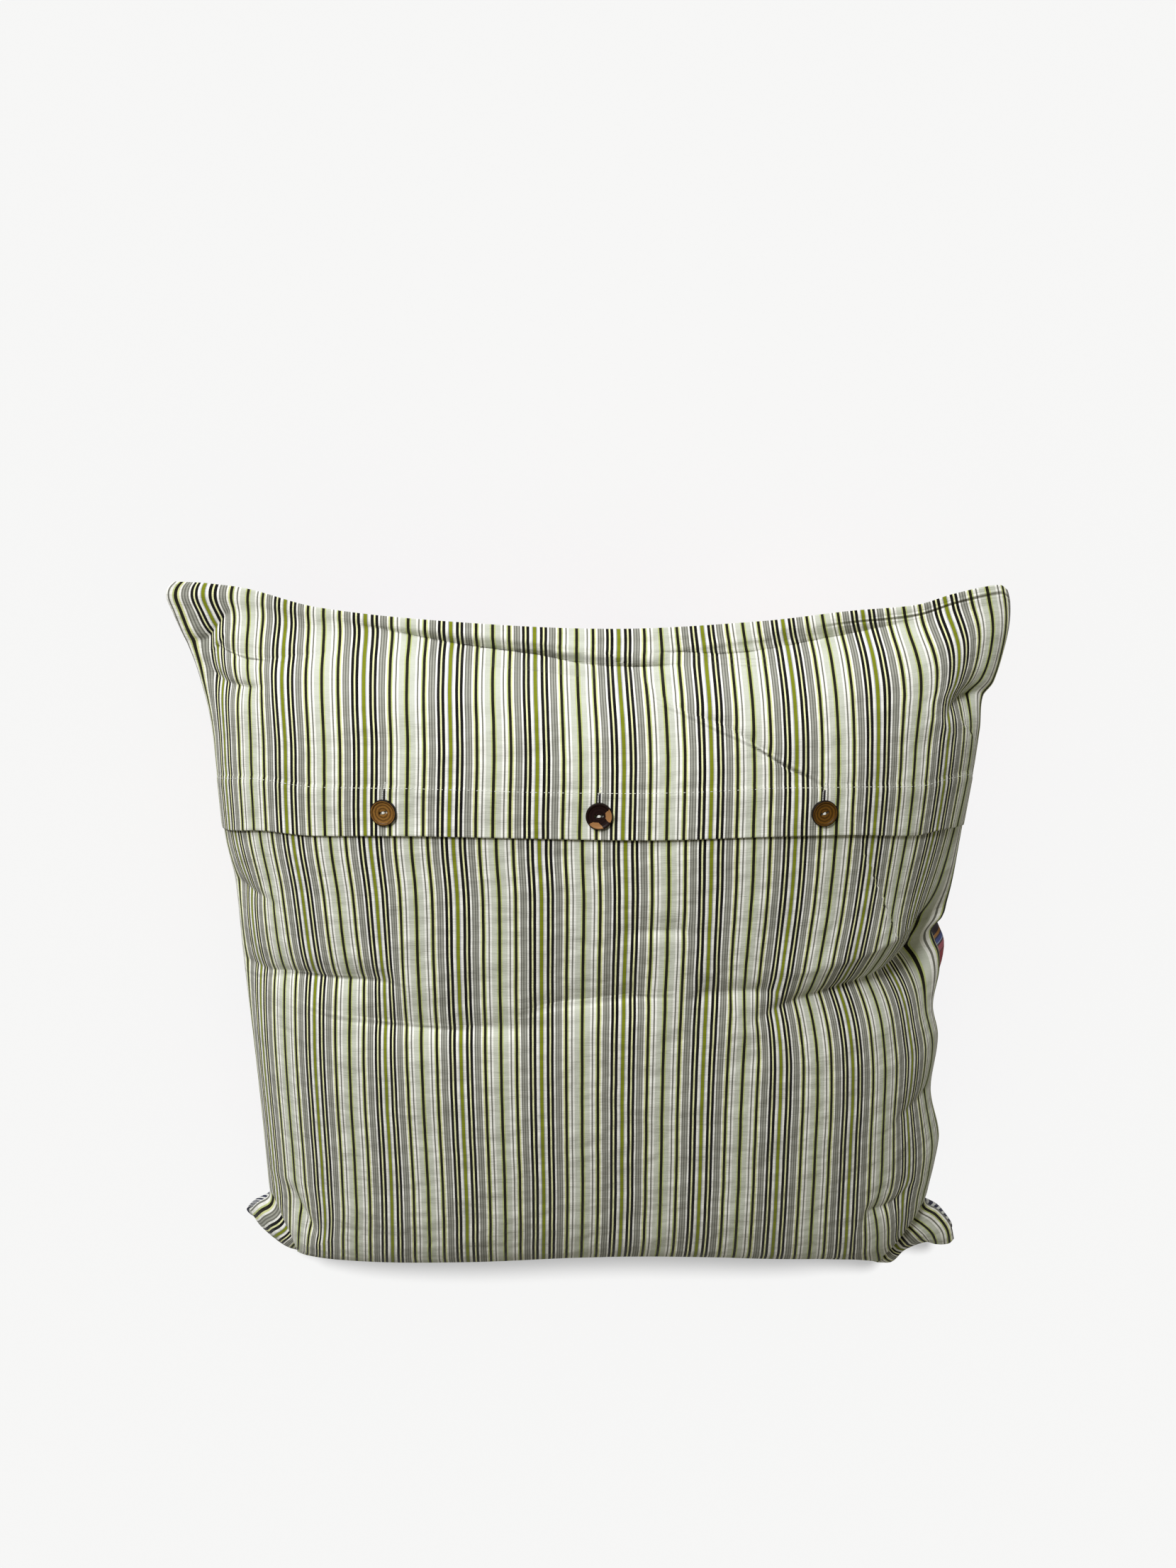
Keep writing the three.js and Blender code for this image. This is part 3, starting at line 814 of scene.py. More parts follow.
RIGHT_SEAM = (
    SeamPlace(-1, 336, -303, 66),
    SeamPlace(-0.93, 330, -284, 69),
    SeamPlace(-0.86, 317, -267, 72),
    SeamPlace(-0.79, 303, -254, 77),
    SeamPlace(-0.72, 303, -232, 81),
    SeamPlace(-0.62, 306, -205, 83),
    SeamPlace(-0.52, 307, -177, 84),
    SeamPlace(-0.34, 296, -132, 84),
    SeamPlace(-0.17, 298, -80, 84),
    SeamPlace(-0.08, 291, -50, 84),
    SeamPlace(0.02, 294, -17, 84),
    SeamPlace(0.06, 292, 0, 85),
    SeamPlace(0.09, 287, 11, 86),
    SeamPlace(0.12, 284, 22, 86),
    SeamPlace(0.15, 292, 32, 85),
    SeamPlace(0.22, 295, 45, 84),
    SeamPlace(0.31, 298, 67, 84),
    SeamPlace(0.44, 301, 106, 84),
    SeamPlace(0.67, 308, 192, 84),
    SeamPlace(0.75, 308, 221, 84),
    SeamPlace(0.78, 315, 232, 84),
    SeamPlace(0.85, 321, 260, 84),
    SeamPlace(0.91, 323, 279, 84),
    SeamPlace(0.97, 322, 295, 84),
    SeamPlace(1, 319, 305, 85),
)
BOTTOM_SEAM = (
    SeamPlace(-1, -308, -272, 65),
    SeamPlace(-0.96, -299, -286, 68),
    SeamPlace(-0.92, -288, -295, 71),
    SeamPlace(-0.85, -272, -303, 75),
    SeamPlace(-0.75, -247, -304, 78),
    SeamPlace(-0.66, -221, -302, 80),
    SeamPlace(-0.34, -109, -291, 82),
    SeamPlace(0, 5, -284, 82),
    SeamPlace(0.3, 107, -284, 82),
    SeamPlace(0.66, 235, -307, 81),
    SeamPlace(0.78, 275, -321, 76),
    SeamPlace(0.85, 290, -309, 73),
    SeamPlace(0.91, 309, -303, 70),
    SeamPlace(0.95, 320, -307, 68),
    SeamPlace(0.985, 332, -308, 66),
    SeamPlace(1, 336, -303, 66),
)
TOP_SEAM = (
    SeamPlace(-1, -314, 311.5, 85),
    SeamPlace(-0.95, -301, 311, 85),
    SeamPlace(-0.88, -285, 310, 86),
    SeamPlace(-0.8, -258, 306, 86),
    SeamPlace(-0.65, -207, 292, 87),
    SeamPlace(-0.35, -108, 281, 88),
    SeamPlace(0.05, 19, 275, 88),
    SeamPlace(0.4, 131, 281, 88),
    SeamPlace(0.62, 200, 289, 87),
    SeamPlace(0.78, 251, 294, 87),
    SeamPlace(0.86, 277, 302, 86),
    SeamPlace(0.97, 312, 309, 85),
    SeamPlace(1, 319, 305, 85),
)
SIDE_LINES = (
    LinePlace(-1, -291, 307),
    LinePlace(-0.6, -284, 298),
    LinePlace(-0.2, -285, 294),
    LinePlace(0.1, -287, 296),
    LinePlace(0.31, -288, 298),
    LinePlace(0.44, -293, 301),
    LinePlace(0.69, -296, 307),
    LinePlace(1, -316, 317),
)
BOTTOM_LINE = (
    LevelPlace(-1, -272),
    LevelPlace(-0.92, -295),
    LevelPlace(-0.85, -303),
    LevelPlace(-0.66, -302),
    LevelPlace(-0.34, -291),
    LevelPlace(0, -284),
    LevelPlace(0.3, -286),
    LevelPlace(0.66, -304),
    LevelPlace(0.8, -306),
    LevelPlace(1, -303),
)
MIDDLE = (
    MiddlePlace(-1, -286, 0),
    MiddlePlace(-0.93, -285, 0.24),
    MiddlePlace(-0.86, -275, 0.44),
    MiddlePlace(-0.8, -264, 0.61),
    MiddlePlace(-0.72, -243, 0.76),
    MiddlePlace(-0.6, -207, 0.87),
    MiddlePlace(-0.4, -143, 0.96),
    MiddlePlace(-0.2, -78, 1),
    MiddlePlace(0.1, 20, 1),
    MiddlePlace(0.42, 124, 0.94),
    MiddlePlace(0.62, 185, 0.82),
    MiddlePlace(0.77, 226, 0.6),
    MiddlePlace(0.87, 248, 0.3),
    MiddlePlace(0.935, 260, 0.09),
    MiddlePlace(1, 275, 0),
)
SLIDES = (
    Slide(-275, 325, 45, 45, 13.5),
    Slide(60, 325, 110, 30, 3.5),
    Slide(275, 262, 45, 35, 9),
    Slide(290, 325, 30, 20, -2),
)
SWELLS = (
    Swell(-185, 205, 70, 3),
    Swell(205, 190, 60, 4),
    Swell(-60, 95, 90, -3),
    Swell(90, 70, 80, 4),
    Swell(-215, -60, 80, 4),
    Swell(-20, -110, 90, 3),
    Swell(190, -110, 90, 5),
    Swell(-120, -215, 80, 3),
    Swell(110, -225, 70, 3),
)
# The flange under the top seam
FLANGE_FOLDS = (
    Fold(
        path=(
            (-269, 299, 0), (-221, 287, 0.3), (-160, 277, 0.5), (-105, 264, 0.8), (-43, 256, 1),
            (6, 249, 1), (57, 249, 0.9), (84, 251, 0),
        ),
        depth=16,
        wide=(8, 11),
    ),
    Fold(
        path=(
            (-221, 292, 0), (-105, 276, 0.7), (-43, 268, 1), (6, 262, 1), (57, 261, 1),
            (110, 267, 0.8), (150, 271, 0),
        ),
        depth=-5,
        wide=(8, 6),
    ),
    Fold(
        path=(
            (45, 260, 0), (74, 258, 0.8), (105, 257, 1), (142, 261, 0.9), (182, 268, 0.9),
            (210, 273, 0.7), (255, 284, 0),
        ),
        depth=14,
        wide=(7, 12),
        pull=(3, 0),
        reach=(10, 30),
    ),
    Fold(
        path=((-92, 256, 0), (-77, 253, 0.8), (-37, 248, 1), (16, 244, 0)),
        depth=2.5,
        wide=(4, 7),
    ),
    Fold(
        path=(
            (181, 280, 0), (195, 282, 0.8), (231, 286, 1), (260, 290, 1), (285, 297, 1),
            (319, 302, 0.6),
        ),
        depth=4.5,
        wide=(3, 5),
    ),
)
# Creases over the filling
MIDDLE_FOLDS = (
    Fold(
        path=(
            (39, 244, 0.6), (68, 227, 1), (102, 216, 0.9), (126, 201, 1), (148, 185, 0.7),
            (172, 177, 0),
        ),
        depth=5,
        wide=(5, 18),
    ),
    Fold(
        path=(
            (-288, -2, 0.5), (-268, 0, 0.9), (-234, 8, 1), (-204, 10, 1), (-170, 14, 0.7),
            (-139, 15, 0),
        ),
        depth=10,
        wide=(12, 18),
        pull=(7, -2),
        reach=(52, 85),
    ),
    Fold(
        path=(
            (-202, -19, 0), (-180, -20, 0.6), (-153, -22, 1), (-108, -23, 1), (-86, -20, 1),
            (-24, -16, 0.3), (0, -14, 0),
        ),
        depth=10,
        wide=(34, 13),
        pull=(0, -3),
        reach=(25, 25),
    ),
    Fold(
        path=((-49, -4, 0), (-24, 1, 0.9), (13, 6, 1), (39, 8, 1), (57, 11, 0.3), (79, 13, 0)),
        depth=9,
        wide=(26, 12),
    ),
    Fold(
        path=((79, 13, 0), (93, 11, 0.8), (140, 11, 1), (160, 11, 0)),
        depth=7,
        wide=(16, 11),
    ),
    Fold(
        path=((20, 64, 0), (38, 64, 1), (70, 64, 1), (83, 64, 0.2), (140, 62, 0.2), (185, 59, 0)),
        depth=4,
        wide=(16, 9),
    ),
    Fold(
        path=((-289, 74, 0.6), (-272, 67, 1), (-241, 66, 0)),
        depth=7,
        wide=(8, 13),
        pull=(2, 0),
    ),
)
# The deep fold that runs in from the notch on the right
RIGHT_FOLDS = (
    Fold(
        path=(
            (296, 42, 1), (292, 26, 1), (283, 14, 1), (270, 8, 1), (249, 6, 0.85), (204, 4, 0.65),
            (163, -2, 0.4), (119, -21, 0),
        ),
        depth=19,
        wide=(12, 28),
        pull=(-25, -8),
        reach=(54, 40),
        sharpness=1.2,
    ),
    Fold(
        path=((298, 90, 0.6), (276, 56, 1), (215, 38, 0.9), (155, 28, 0.4), (117, 15, 0)),
        depth=-7,
        wide=(24, 16),
        pull=(0, -5),
        reach=(20, 20),
    ),
    Fold(
        path=((296, -123, 1), (275, -127, 0.7), (245, -135, 0)),
        depth=6,
        wide=(8, 13),
        pull=(-3, 0),
    ),
    Fold(
        path=((282, -205, 0), (264, -222, 1), (247, -222, 1), (233, -218, 0)),
        depth=3.5,
        wide=(8, 8),
        pull=(-5, 0),
        reach=(20, 20),
    ),
)
# Folds where the ears leave the filling
EAR_FOLDS = (
    Fold(
        path=(
            (316, 224, 1), (308, 224, 1), (302, 225, 1), (294, 224, 0.9), (281, 219, 0.5),
            (271, 207, 0),
        ),
        depth=10,
        wide=(7, 13),
        pull=(-8, 0),
        reach=(26, 22),
    ),
    Fold(
        path=((-310, 266, 1), (-301, 267, 1), (-295, 272, 0.9), (-286, 281, 0.7), (-265, 298, 0)),
        depth=6,
        wide=(6, 8),
        pull=(7, 0),
        reach=(14, 22),
    ),
    Fold(
        path=(
            (-288, 266, 0), (-284, 263, 0.8), (-270, 257, 1), (-253, 255, 1), (-201, 260, 0.8),
            (-180, 263, 0),
        ),
        depth=5,
        wide=(7, 8),
    ),
    Fold(
        path=((-303, 255, 0.8), (-294, 243, 1), (-283, 237, 1), (-266, 235, 0.9), (-235, 239, 0)),
        depth=7,
        wide=(7, 10),
        pull=(4, 0),
    ),
    Fold(
        path=((-287, -234, 0.8), (-280, -246, 1), (-274, -257, 1), (-267, -271, 1), (-264, -293, 0.6)),
        depth=14,
        wide=(4, 8),
        pull=(7, -3),
        reach=(2.5, 24),
        sharpness=1.3,
    ),
    Fold(
        path=((-257, -198, 0), (-252, -223, 1), (-242, -244, 1), (-229, -260, 0)),
        depth=7,
        wide=(9, 8),
        pull=(3, 0),
    ),
    Fold(
        path=((305, -246, 0.8), (299, -257, 1), (288, -270, 1), (278, -288, 1), (270, -301, 0.6)),
        depth=14,
        wide=(4, 8),
        pull=(-9, -5),
        reach=(2.5, 24),
        sharpness=1.3,
    ),
)
FOLDS = FLANGE_FOLDS + MIDDLE_FOLDS + RIGHT_FOLDS + EAR_FOLDS


@dataclass
class Cover:
    """The cover as it lies: two square panels joined at a closed seam, filled and folded.

    half is half the flat cloth's side, seam_height how high the side seams lie over the floor, and
    crown how far the back rises over them.
    """

    half: float = 325.0
    seam_height: float = 84.0
    crown: float = 95.0
    ear_half_thickness: float = 1.6
    ear_edge: float = 8.0
    # How the cloth spreads between the side seams, and rounds down to them
    level_run: float = 1.11
    steep_power: float = 7.0
    round_power: float = 2.3
    round_fullness: float = 0.8
    # How fast the seams' pull and their bends fade inwards, and how far folds keep off the seams
    seam_pull_power: float = 3.0
    seam_bend_power: float = 8.0
    fold_free: float = 20.0
    # Where the underside rests, and how it rounds up from there
    rest_side: float = 0.497
    rest_low: float = -0.589
    rest_high: float = 0.458
    belly_power: float = 2.0
    belly_across: float = 0.75
    belly_low: float = 0.7
    belly_high: float = 0.95
    # Where the front bulges out beside its seams: at the right side's notch and at the lower ears
    bulge_inward: float = 0.035
    notch: float = 0.07
    notch_width: float = 0.09
    notch_bulge: float = 11.0
    ear_bulge: float = 9.0
    left_ear: float = 1.6
    ear_range: tuple[float, ...] = (-0.99, -0.93, -0.84, -0.76)
    # How far the weave leans to the right, from the bottom up, and how much less on the right side
    lean_at: tuple[float, ...] = (-1, -0.8, -0.4, 0.1, 0.46, 1)
    leans: tuple[float, ...] = (-2, -2, 0, 1.5, 1.5, -2.5)
    lean_less: float = 0.4
    slide_less: float = 0.45
    hem_along: float = 176.0
    hem_depth: float = 38.0
    folds: tuple[Fold, ...] = FOLDS
    shift: Vector = field(default_factory=lambda: Vector((0, 0, 0)))

    def hem_edge(self) -> float:
        """Where the flap's hem edge lies, as t."""
        return 1 - self.hem_along / self.half

    def lean(self, s: np.ndarray, t: np.ndarray) -> np.ndarray:
        """How far the weave runs off to the right of the panels' own cut."""
        lean = smooth_column(self.lean_at, self.leans, t) * (1 - self.lean_less * s)
        return lean + sum(slide.at(s * self.half, t * self.half) for slide in SLIDES)

    def flat(self, s: Any, t: Any, slide: float = 0.0) -> np.ndarray:
        """Places on the striped cloth, in millimetres.

        Args:
            s: Places across the panels.
            t: Places along them.
            slide: How far the whole panel's weave has slid to the right.

        Returns:
            The places across and along the weave.
        """
        across = s * self.half - self.lean(s, t) - slide * (1 - self.slide_less * s)
        return np.stack([across, t * self.half], -1)

    def column(self, rows: Sequence[Any], name: str, at: Any) -> np.ndarray:
        """A smooth curve through one column of a table of places.

        Args:
            rows: The table.
            name: The column's name.
            at: Where the curve is wanted.

        Returns:
            Its values there.
        """
        places = [row.at for row in rows]
        values = [getattr(row, name) for row in rows]
        return smooth_column(places, values, np.asarray(at, float))

    def side(self, name: str, s: np.ndarray, t: Any) -> np.ndarray:
        """One column of the nearer side seam."""
        return np.where(s < 0, self.column(LEFT_SEAM, name, t), self.column(RIGHT_SEAM, name, t))

    def end(self, name: str, s: np.ndarray, t: np.ndarray) -> np.ndarray:
        """One column of the nearer end seam."""
        return np.where(t < 0, self.column(BOTTOM_SEAM, name, s), self.column(TOP_SEAM, name, s))

    def place_across(self, s: np.ndarray, t: np.ndarray) -> np.ndarray:
        """Where the cloth lies between the side seams.

        Args:
            s: Places across.
            t: Places along.

        Returns:
            The places along X.
        """
        across = (self.level_run * s - (self.level_run - 1) * s**self.steep_power + 1) / 2
        left, right = self.column(SIDE_LINES, "left", t), self.column(SIDE_LINES, "right", t)
        bend = self.side("x", s, t) - np.where(s < 0, left, right)
        return mix(left, right, across) + np.abs(s) ** self.seam_bend_power * bend

    def seam_sheet(self, s: np.ndarray, t: np.ndarray) -> np.ndarray:
        """The sheet that spans the four seams.

        Args:
            s: Places across.
            t: Places along.

        Returns:
            The places on it, in millimetres.
        """
        near_side, near_end = np.abs(s) ** self.seam_pull_power, np.abs(t) ** self.seam_pull_power
        corner, end_corner = np.where(s < 0, -1.0, 1.0), np.where(t < 0, -1.0, 1.0)
        low, high = MIDDLE[0].y, MIDDLE[-1].y
        up = (self.column(MIDDLE, "y", t) - low) / (high - low)
        line = self.column(BOTTOM_LINE, "y", s)
        bend = self.column(BOTTOM_SEAM, "y", s) - line
        bend *= np.where(t < 0, np.abs(t) ** self.seam_bend_power, 0)
        level = mix(line, self.column(TOP_SEAM, "y", s), up) + bend
        side_level = mix(self.column(BOTTOM_SEAM, "y", corner), self.column(TOP_SEAM, "y", corner), up)
        y = level + near_side * (self.side("y", s, t) - side_level)
        x = self.place_across(s, t)
        x += near_end * (self.end("x", s, t) - self.place_across(s, end_corner))
        side_lift = self.side("z", s, t) - self.seam_height
        end_lift = self.end("z", s, t) - self.seam_height
        corner_lift = self.side("z", s, end_corner) - self.seam_height
        lift = near_side * side_lift + near_end * end_lift - near_side * near_end * corner_lift
        return np.stack([x, y, self.seam_height + lift], -1)

    def rise(self, s: np.ndarray, t: np.ndarray) -> np.ndarray:
        """The back's rise over the seams, as a share of the crown."""
        sides = np.maximum(0, 1 - np.abs(s) ** self.round_power) ** self.round_fullness
        return self.column(MIDDLE, "rise", t) * sides

    def to_seam(self, s: np.ndarray, t: np.ndarray) -> np.ndarray:
        """Cloth between a place and the nearest seam."""
        return np.minimum(1 - np.abs(s), 1 - np.abs(t)) * self.half

    def ear(self, s: np.ndarray, t: np.ndarray) -> np.ndarray:
        """Half thickness beside the seams."""
        return self.ear_half_thickness * np.minimum(1, self.to_seam(s, t) / self.ear_edge)

    def back(self, s: np.ndarray, t: np.ndarray) -> np.ndarray:
        """The back's cloth, filled and folded.

        Args:
            s: Places across.
            t: Places along.

        Returns:
            The places on it, in millimetres.
        """
        place = self.seam_sheet(s, t)
        free = smoothstep(self.to_seam(s, t), 0, self.fold_free)[..., None]
        moved = np.zeros_like(place)
        for fold in self.folds:
            moved += fold.shift(place[..., 0], place[..., 1])
        for swell in SWELLS:
            moved[..., 2] += swell.lift(place[..., 0], place[..., 1])
        place[..., 2] += self.crown * self.rise(s, t) + self.ear(s, t)
        return place + moved * free

    def front(self, s: np.ndarray, t: np.ndarray) -> np.ndarray:
        """The front's cloth underneath, pressed flat where it rests.

        Args:
            s: Places across.
            t: Places along.

        Returns:
            The places on it, in millimetres.
        """
        place = self.seam_sheet(s, t)
        side = np.maximum(0, np.abs(s) - self.rest_side) / (1 - self.rest_side)
        low = np.maximum(0, self.rest_low - t) / (self.rest_low + 1)
        high = np.maximum(0, t - self.rest_high) / (1 - self.rest_high)
        fall = np.maximum(0, 1 - side**self.belly_power) ** self.belly_across
        fall = fall * np.maximum(0, 1 - low**self.belly_power) ** self.belly_low
        fall = fall * np.maximum(0, 1 - high**self.belly_power) ** self.belly_high
        place[..., 2] = (place[..., 2] - self.ear(s, t)) * (1 - fall)
        inward = (1 - np.abs(s)) / self.bulge_inward
        notch = np.exp(-(((t - self.notch) / self.notch_width) ** 2)) * (s > 0) * self.notch_bulge
        starts, full, fades, ends = self.ear_range
        ears = smoothstep(t, starts, full) * (1 - smoothstep(t, fades, ends)) * self.ear_bulge
        bulge = notch + ears * np.where(s < 0, self.left_ear, 1)
        place[..., 0] += np.sign(s) * bulge * inward * np.exp(1 - inward)
        return place


def quads(index: np.ndarray) -> np.ndarray:
    """Faces of a grid of points, pointing up where rows run along Y and columns along X."""
    corners = [index[:-1, :-1], index[:-1, 1:], index[1:, 1:], index[1:, :-1]]
    return np.stack(corners, -1).reshape(-1, 4)


def shell(back: np.ndarray, front: np.ndarray) -> tuple[np.ndarray, np.ndarray, np.ndarray]:
    """A closed shell of two grids that share their rim.

    Args:
        back: The upper grid's points.
        front: The lower grid's points.

    Returns:
        The points, the faces, and the number of each of the front grid's points.
    """
    rows, columns = back.shape[:2]
    upper = np.arange(rows * columns).reshape(rows, columns)
    inner = np.arange((rows - 2) * (columns - 2)).reshape(rows - 2, columns - 2)
    lower = upper.copy()
    lower[1:-1, 1:-1] = rows * columns + inner
    points = np.concatenate([back.reshape(-1, 3), front[1:-1, 1:-1].reshape(-1, 3)])
    faces = np.concatenate([quads(upper), quads(lower)[:, ::-1]])
    return points, faces, lower


def cloth_object(
    name: str, points: np.ndarray, faces: np.ndarray, flat: np.ndarray, shift: Vector
) -> bpy.types.Object:
    """Makes a mesh object of cloth with its place on the flat cut as its UV map.

    Args:
        name: The piece's name.
        points: Its points in millimetres.
        faces: Its faces, four points each.
        flat: The place of each point on the flat cloth, in millimetres.
        shift: What to add to the points, in metres.

    Returns:
        The object.
    """
    mesh = bpy.data.meshes.new(name)
    mesh.from_pydata((points * MM + np.array(shift)).tolist(), [], faces.tolist())
    layer = mesh.uv_layers.new(name=CLOTH_UV)
    corners = np.zeros(len(mesh.loops), np.int32)
    mesh.loops.foreach_get("vertex_index", corners)
    layer.data.foreach_set("uv", (flat[corners] * MM).ravel())
    mesh.shade_smooth()
    piece = bpy.data.objects.new(name, mesh)
    bpy.context.scene.collection.objects.link(piece)
    return piece


class Surface:
    """A grid of points that can be read anywhere between them."""

    def __init__(self, grid: np.ndarray) -> None:
        """Keeps the grid with one more row all round, so that its edge is smooth too.

        Args:
            grid: Points over (s, t), with t along the first axis.
        """
        tall = np.concatenate([2 * grid[:1] - grid[1:2], grid, 2 * grid[-1:] - grid[-2:-1]])
        left, right = 2 * tall[:, :1] - tall[:, 1:2], 2 * tall[:, -1:] - tall[:, -2:-1]
        self.grid = np.concatenate([left, tall, right], 1)
        self.rows, self.columns = grid.shape[0] - 1, grid.shape[1] - 1

    @staticmethod
    def _weights(f: np.ndarray) -> list[np.ndarray]:
        """How much each of the four nearest points counts.

        Args:
            f: How far the place has run from the second point to the third, from 0 to 1.

        Returns:
            Their four shares.
        """
        return [
            f * (-1 + f * (2 - f)) / 2,
            1 + f * f * (3 * f - 5) / 2,
            f * (1 + f * (4 - 3 * f)) / 2,
            f * f * (f - 1) / 2,
        ]

    def at(self, s: Any, t: Any) -> np.ndarray:
        """Reads the surface.

        Args:
            s: Places across, from -1 to 1.
            t: Places along.

        Returns:
            The points there.
        """
        s, t = np.broadcast_arrays(np.asarray(s, float), np.asarray(t, float))
        column = (np.clip(s, -1, 1) + 1) / 2 * self.columns
        row = (np.clip(t, -1, 1) + 1) / 2 * self.rows
        i = np.clip(np.floor(column).astype(int), 0, self.columns - 1)
        j = np.clip(np.floor(row).astype(int), 0, self.rows - 1)
        across, along = self._weights(column - i), self._weights(row - j)
        total = np.zeros(s.shape + (3,))
        for b in range(4):
            for a in range(4):
                total += (across[a] * along[b])[..., None] * self.grid[j + b, i + a]
        return total

    def normal(self, s: Any, t: Any, step: float = 0.004) -> np.ndarray:
        """Reads the way up from the surface.

        Args:
            s: Places across, from -1 to 1.
            t: Places along.
            step: How far to each side the slope is taken.

        Returns:
            The normals there, 1 long.
        """
        s, t = np.broadcast_arrays(np.asarray(s, float), np.asarray(t, float))
        across = self.at(s + step, t) - self.at(s - step, t)
        along = self.at(s, t + step) - self.at(s, t - step)
        normal = np.cross(across, along)
        return normal / np.linalg.norm(normal, axis=-1, keepdims=True)


@dataclass
class Settling:
    """How the filled cover is let settle, with Blender's cloth, from its shape and its flat cut.

    hold is how firmly each point keeps to its place, most the farthest that it moves, sideways the
    share of its slide that stays, and seam_run how far from the seams it moves freely.
    """

    lines: int = 110
    steps: int = 12
    quality: int = 4
    mass: float = 0.15
    pressure: float = 0.6
    stiffness: float = 30.0
    shear: float = 7.5
    bending: float = 0.02
    damping: float = 3.0
    air: float = 2.0
    hold: float = 0.02
    most: float = 5.0
    sideways: float = 0.35
    seam_run: float = 60.0
    still_radius: float = 55.0

    def places(self) -> tuple[np.ndarray, np.ndarray]:
        """The grid's places, as s and t."""
        return np.meshgrid(np.linspace(-1, 1, self.lines + 1), np.linspace(-1, 1, self.lines + 1))

    def settle(self, cover: Cover, still: Sequence[tuple[float, float]]) -> tuple[Surface, Surface]:
        """Settles the cover.

        Args:
            cover: The cover.
            still: Places that keep where they were, as s and t.

        Returns:
            How far the back moves, and how far the front does.
        """
        s, t = self.places()
        back, front = cover.back(s, t), cover.front(s, t)
        points, faces, lower = shell(back, front)
        flat = np.stack([s, t], -1) * cover.half
        flat = np.concatenate([flat.reshape(-1, 2), flat[1:-1, 1:-1].reshape(-1, 2)])
        moved = self._simulated(points, faces, flat) - points
        length = np.linalg.norm(moved, axis=1, keepdims=True)
        moved *= self.most * np.tanh(length / self.most) / np.maximum(length, 1e-6)
        moved[:, :2] *= self.sideways
        upper, under = moved[: s.size].reshape(back.shape), moved[lower]
        free = smoothstep(cover.to_seam(s, t), 0, self.seam_run)[..., None]
        upper, under = upper * free, under * free
        for place in still:
            spot = Surface(upper).at(*place)
            where = cover.half * np.hypot(s - place[0], t - place[1]) / self.still_radius
            upper = upper - spot * np.exp(-where * where)[..., None]
        under[..., 2] = np.maximum(under[..., 2], -front[..., 2])
        return Surface(upper), Surface(under)

    def _simulated(self, points: np.ndarray, faces: np.ndarray, flat: np.ndarray) -> np.ndarray:
        """Runs the cloth simulation.

        Args:
            points: The shell's points in millimetres.
            faces: Its faces.
            flat: Each point's place on the flat cut, whose lengths the cloth keeps.

        Returns:
            The points after the last step.
        """
        piece = cloth_object("settling", points, faces, flat, Vector((0, 0, 0)))
        piece.shape_key_add(name="filled")
        cut = piece.shape_key_add(name="cut")
        level = np.concatenate([flat, np.zeros((len(flat), 1))], 1) * MM
        cut.data.foreach_set("co", level.ravel())
        held = piece.vertex_groups.new(name="held")
        held.add(list(range(len(points))), self.hold, "REPLACE")
        modifier = piece.modifiers.new("settling", "CLOTH")
        cloth = modifier.settings
        cloth.rest_shape_key = cut
        cloth.vertex_group_mass = held.name
        cloth.quality = self.quality
        cloth.mass = self.mass
        cloth.tension_stiffness = cloth.compression_stiffness = self.stiffness
        cloth.shear_stiffness = self.shear
        cloth.bending_stiffness = self.bending
        cloth.tension_damping = cloth.compression_damping = cloth.shear_damping = self.damping
        cloth.air_damping = self.air
        cloth.use_pressure = True
        cloth.uniform_pressure_force = self.pressure
        cloth.effector_weights.gravity = 0
        modifier.collision_settings.use_collision = False
        modifier.collision_settings.use_self_collision = False
        modifier.point_cache.frame_start, modifier.point_cache.frame_end = 1, self.steps
        for step in range(1, self.steps + 1):
            bpy.context.scene.frame_set(step)
        shown = piece.evaluated_get(bpy.context.evaluated_depsgraph_get())
        settled = np.zeros(len(points) * 3, np.float32)
        shown.data.vertices.foreach_get("co", settled)
        mesh = piece.data
        bpy.data.objects.remove(piece)
        bpy.data.meshes.remove(mesh)
        bpy.context.scene.frame_set(1)
        return settled.reshape(-1, 3).astype(float) / MM


def laid_surfaces(
    cover: Cover, settling: Settling, still: Sequence[tuple[float, float]], lines: int = 325
) -> tuple[Surface, Surface]:
    """The cover's back and front as finely meshed surfaces, settled.

    Args:
        cover: The cover.
        settling: How it settles.
        still: Places that the settling leaves where they were.
        lines: Mesh lines each way.

    Returns:
        The back's surface and the front's.
    """
    upper, under = settling.settle(cover, still)
    places = np.linspace(-1, 1, lines + 1)
    s, t = np.meshgrid(places, places)
    return Surface(cover.back(s, t) + upper.at(s, t)), Surface(cover.front(s, t) + under.at(s, t))


def mesh_lines(low: float, high: float, count: int, gather: float = 0.4) -> np.ndarray:
    """Places of mesh lines, closer together at both ends.

    Args:
        low: Where they start.
        high: Where they end.
        count: How many strips they part.
        gather: How far they draw together at the ends, from 0 to 1.

    Returns:
        The places.
    """
    even = np.linspace(-1, 1, count + 1)
    return mix(low, high, (mix(even, np.sin(even * math.pi / 2), gather) + 1) / 2)


def dress(piece: bpy.types.Object, material: bpy.types.Material) -> bpy.types.Object:
    """Finishes a piece for the frame.

    Args:
        piece: The piece.
        material: Its material.

    Returns:
        The piece, which now rides on the body.
    """
    piece.data.materials.clear()
    piece.data.materials.append(material)
    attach(piece, BODY)
    return piece


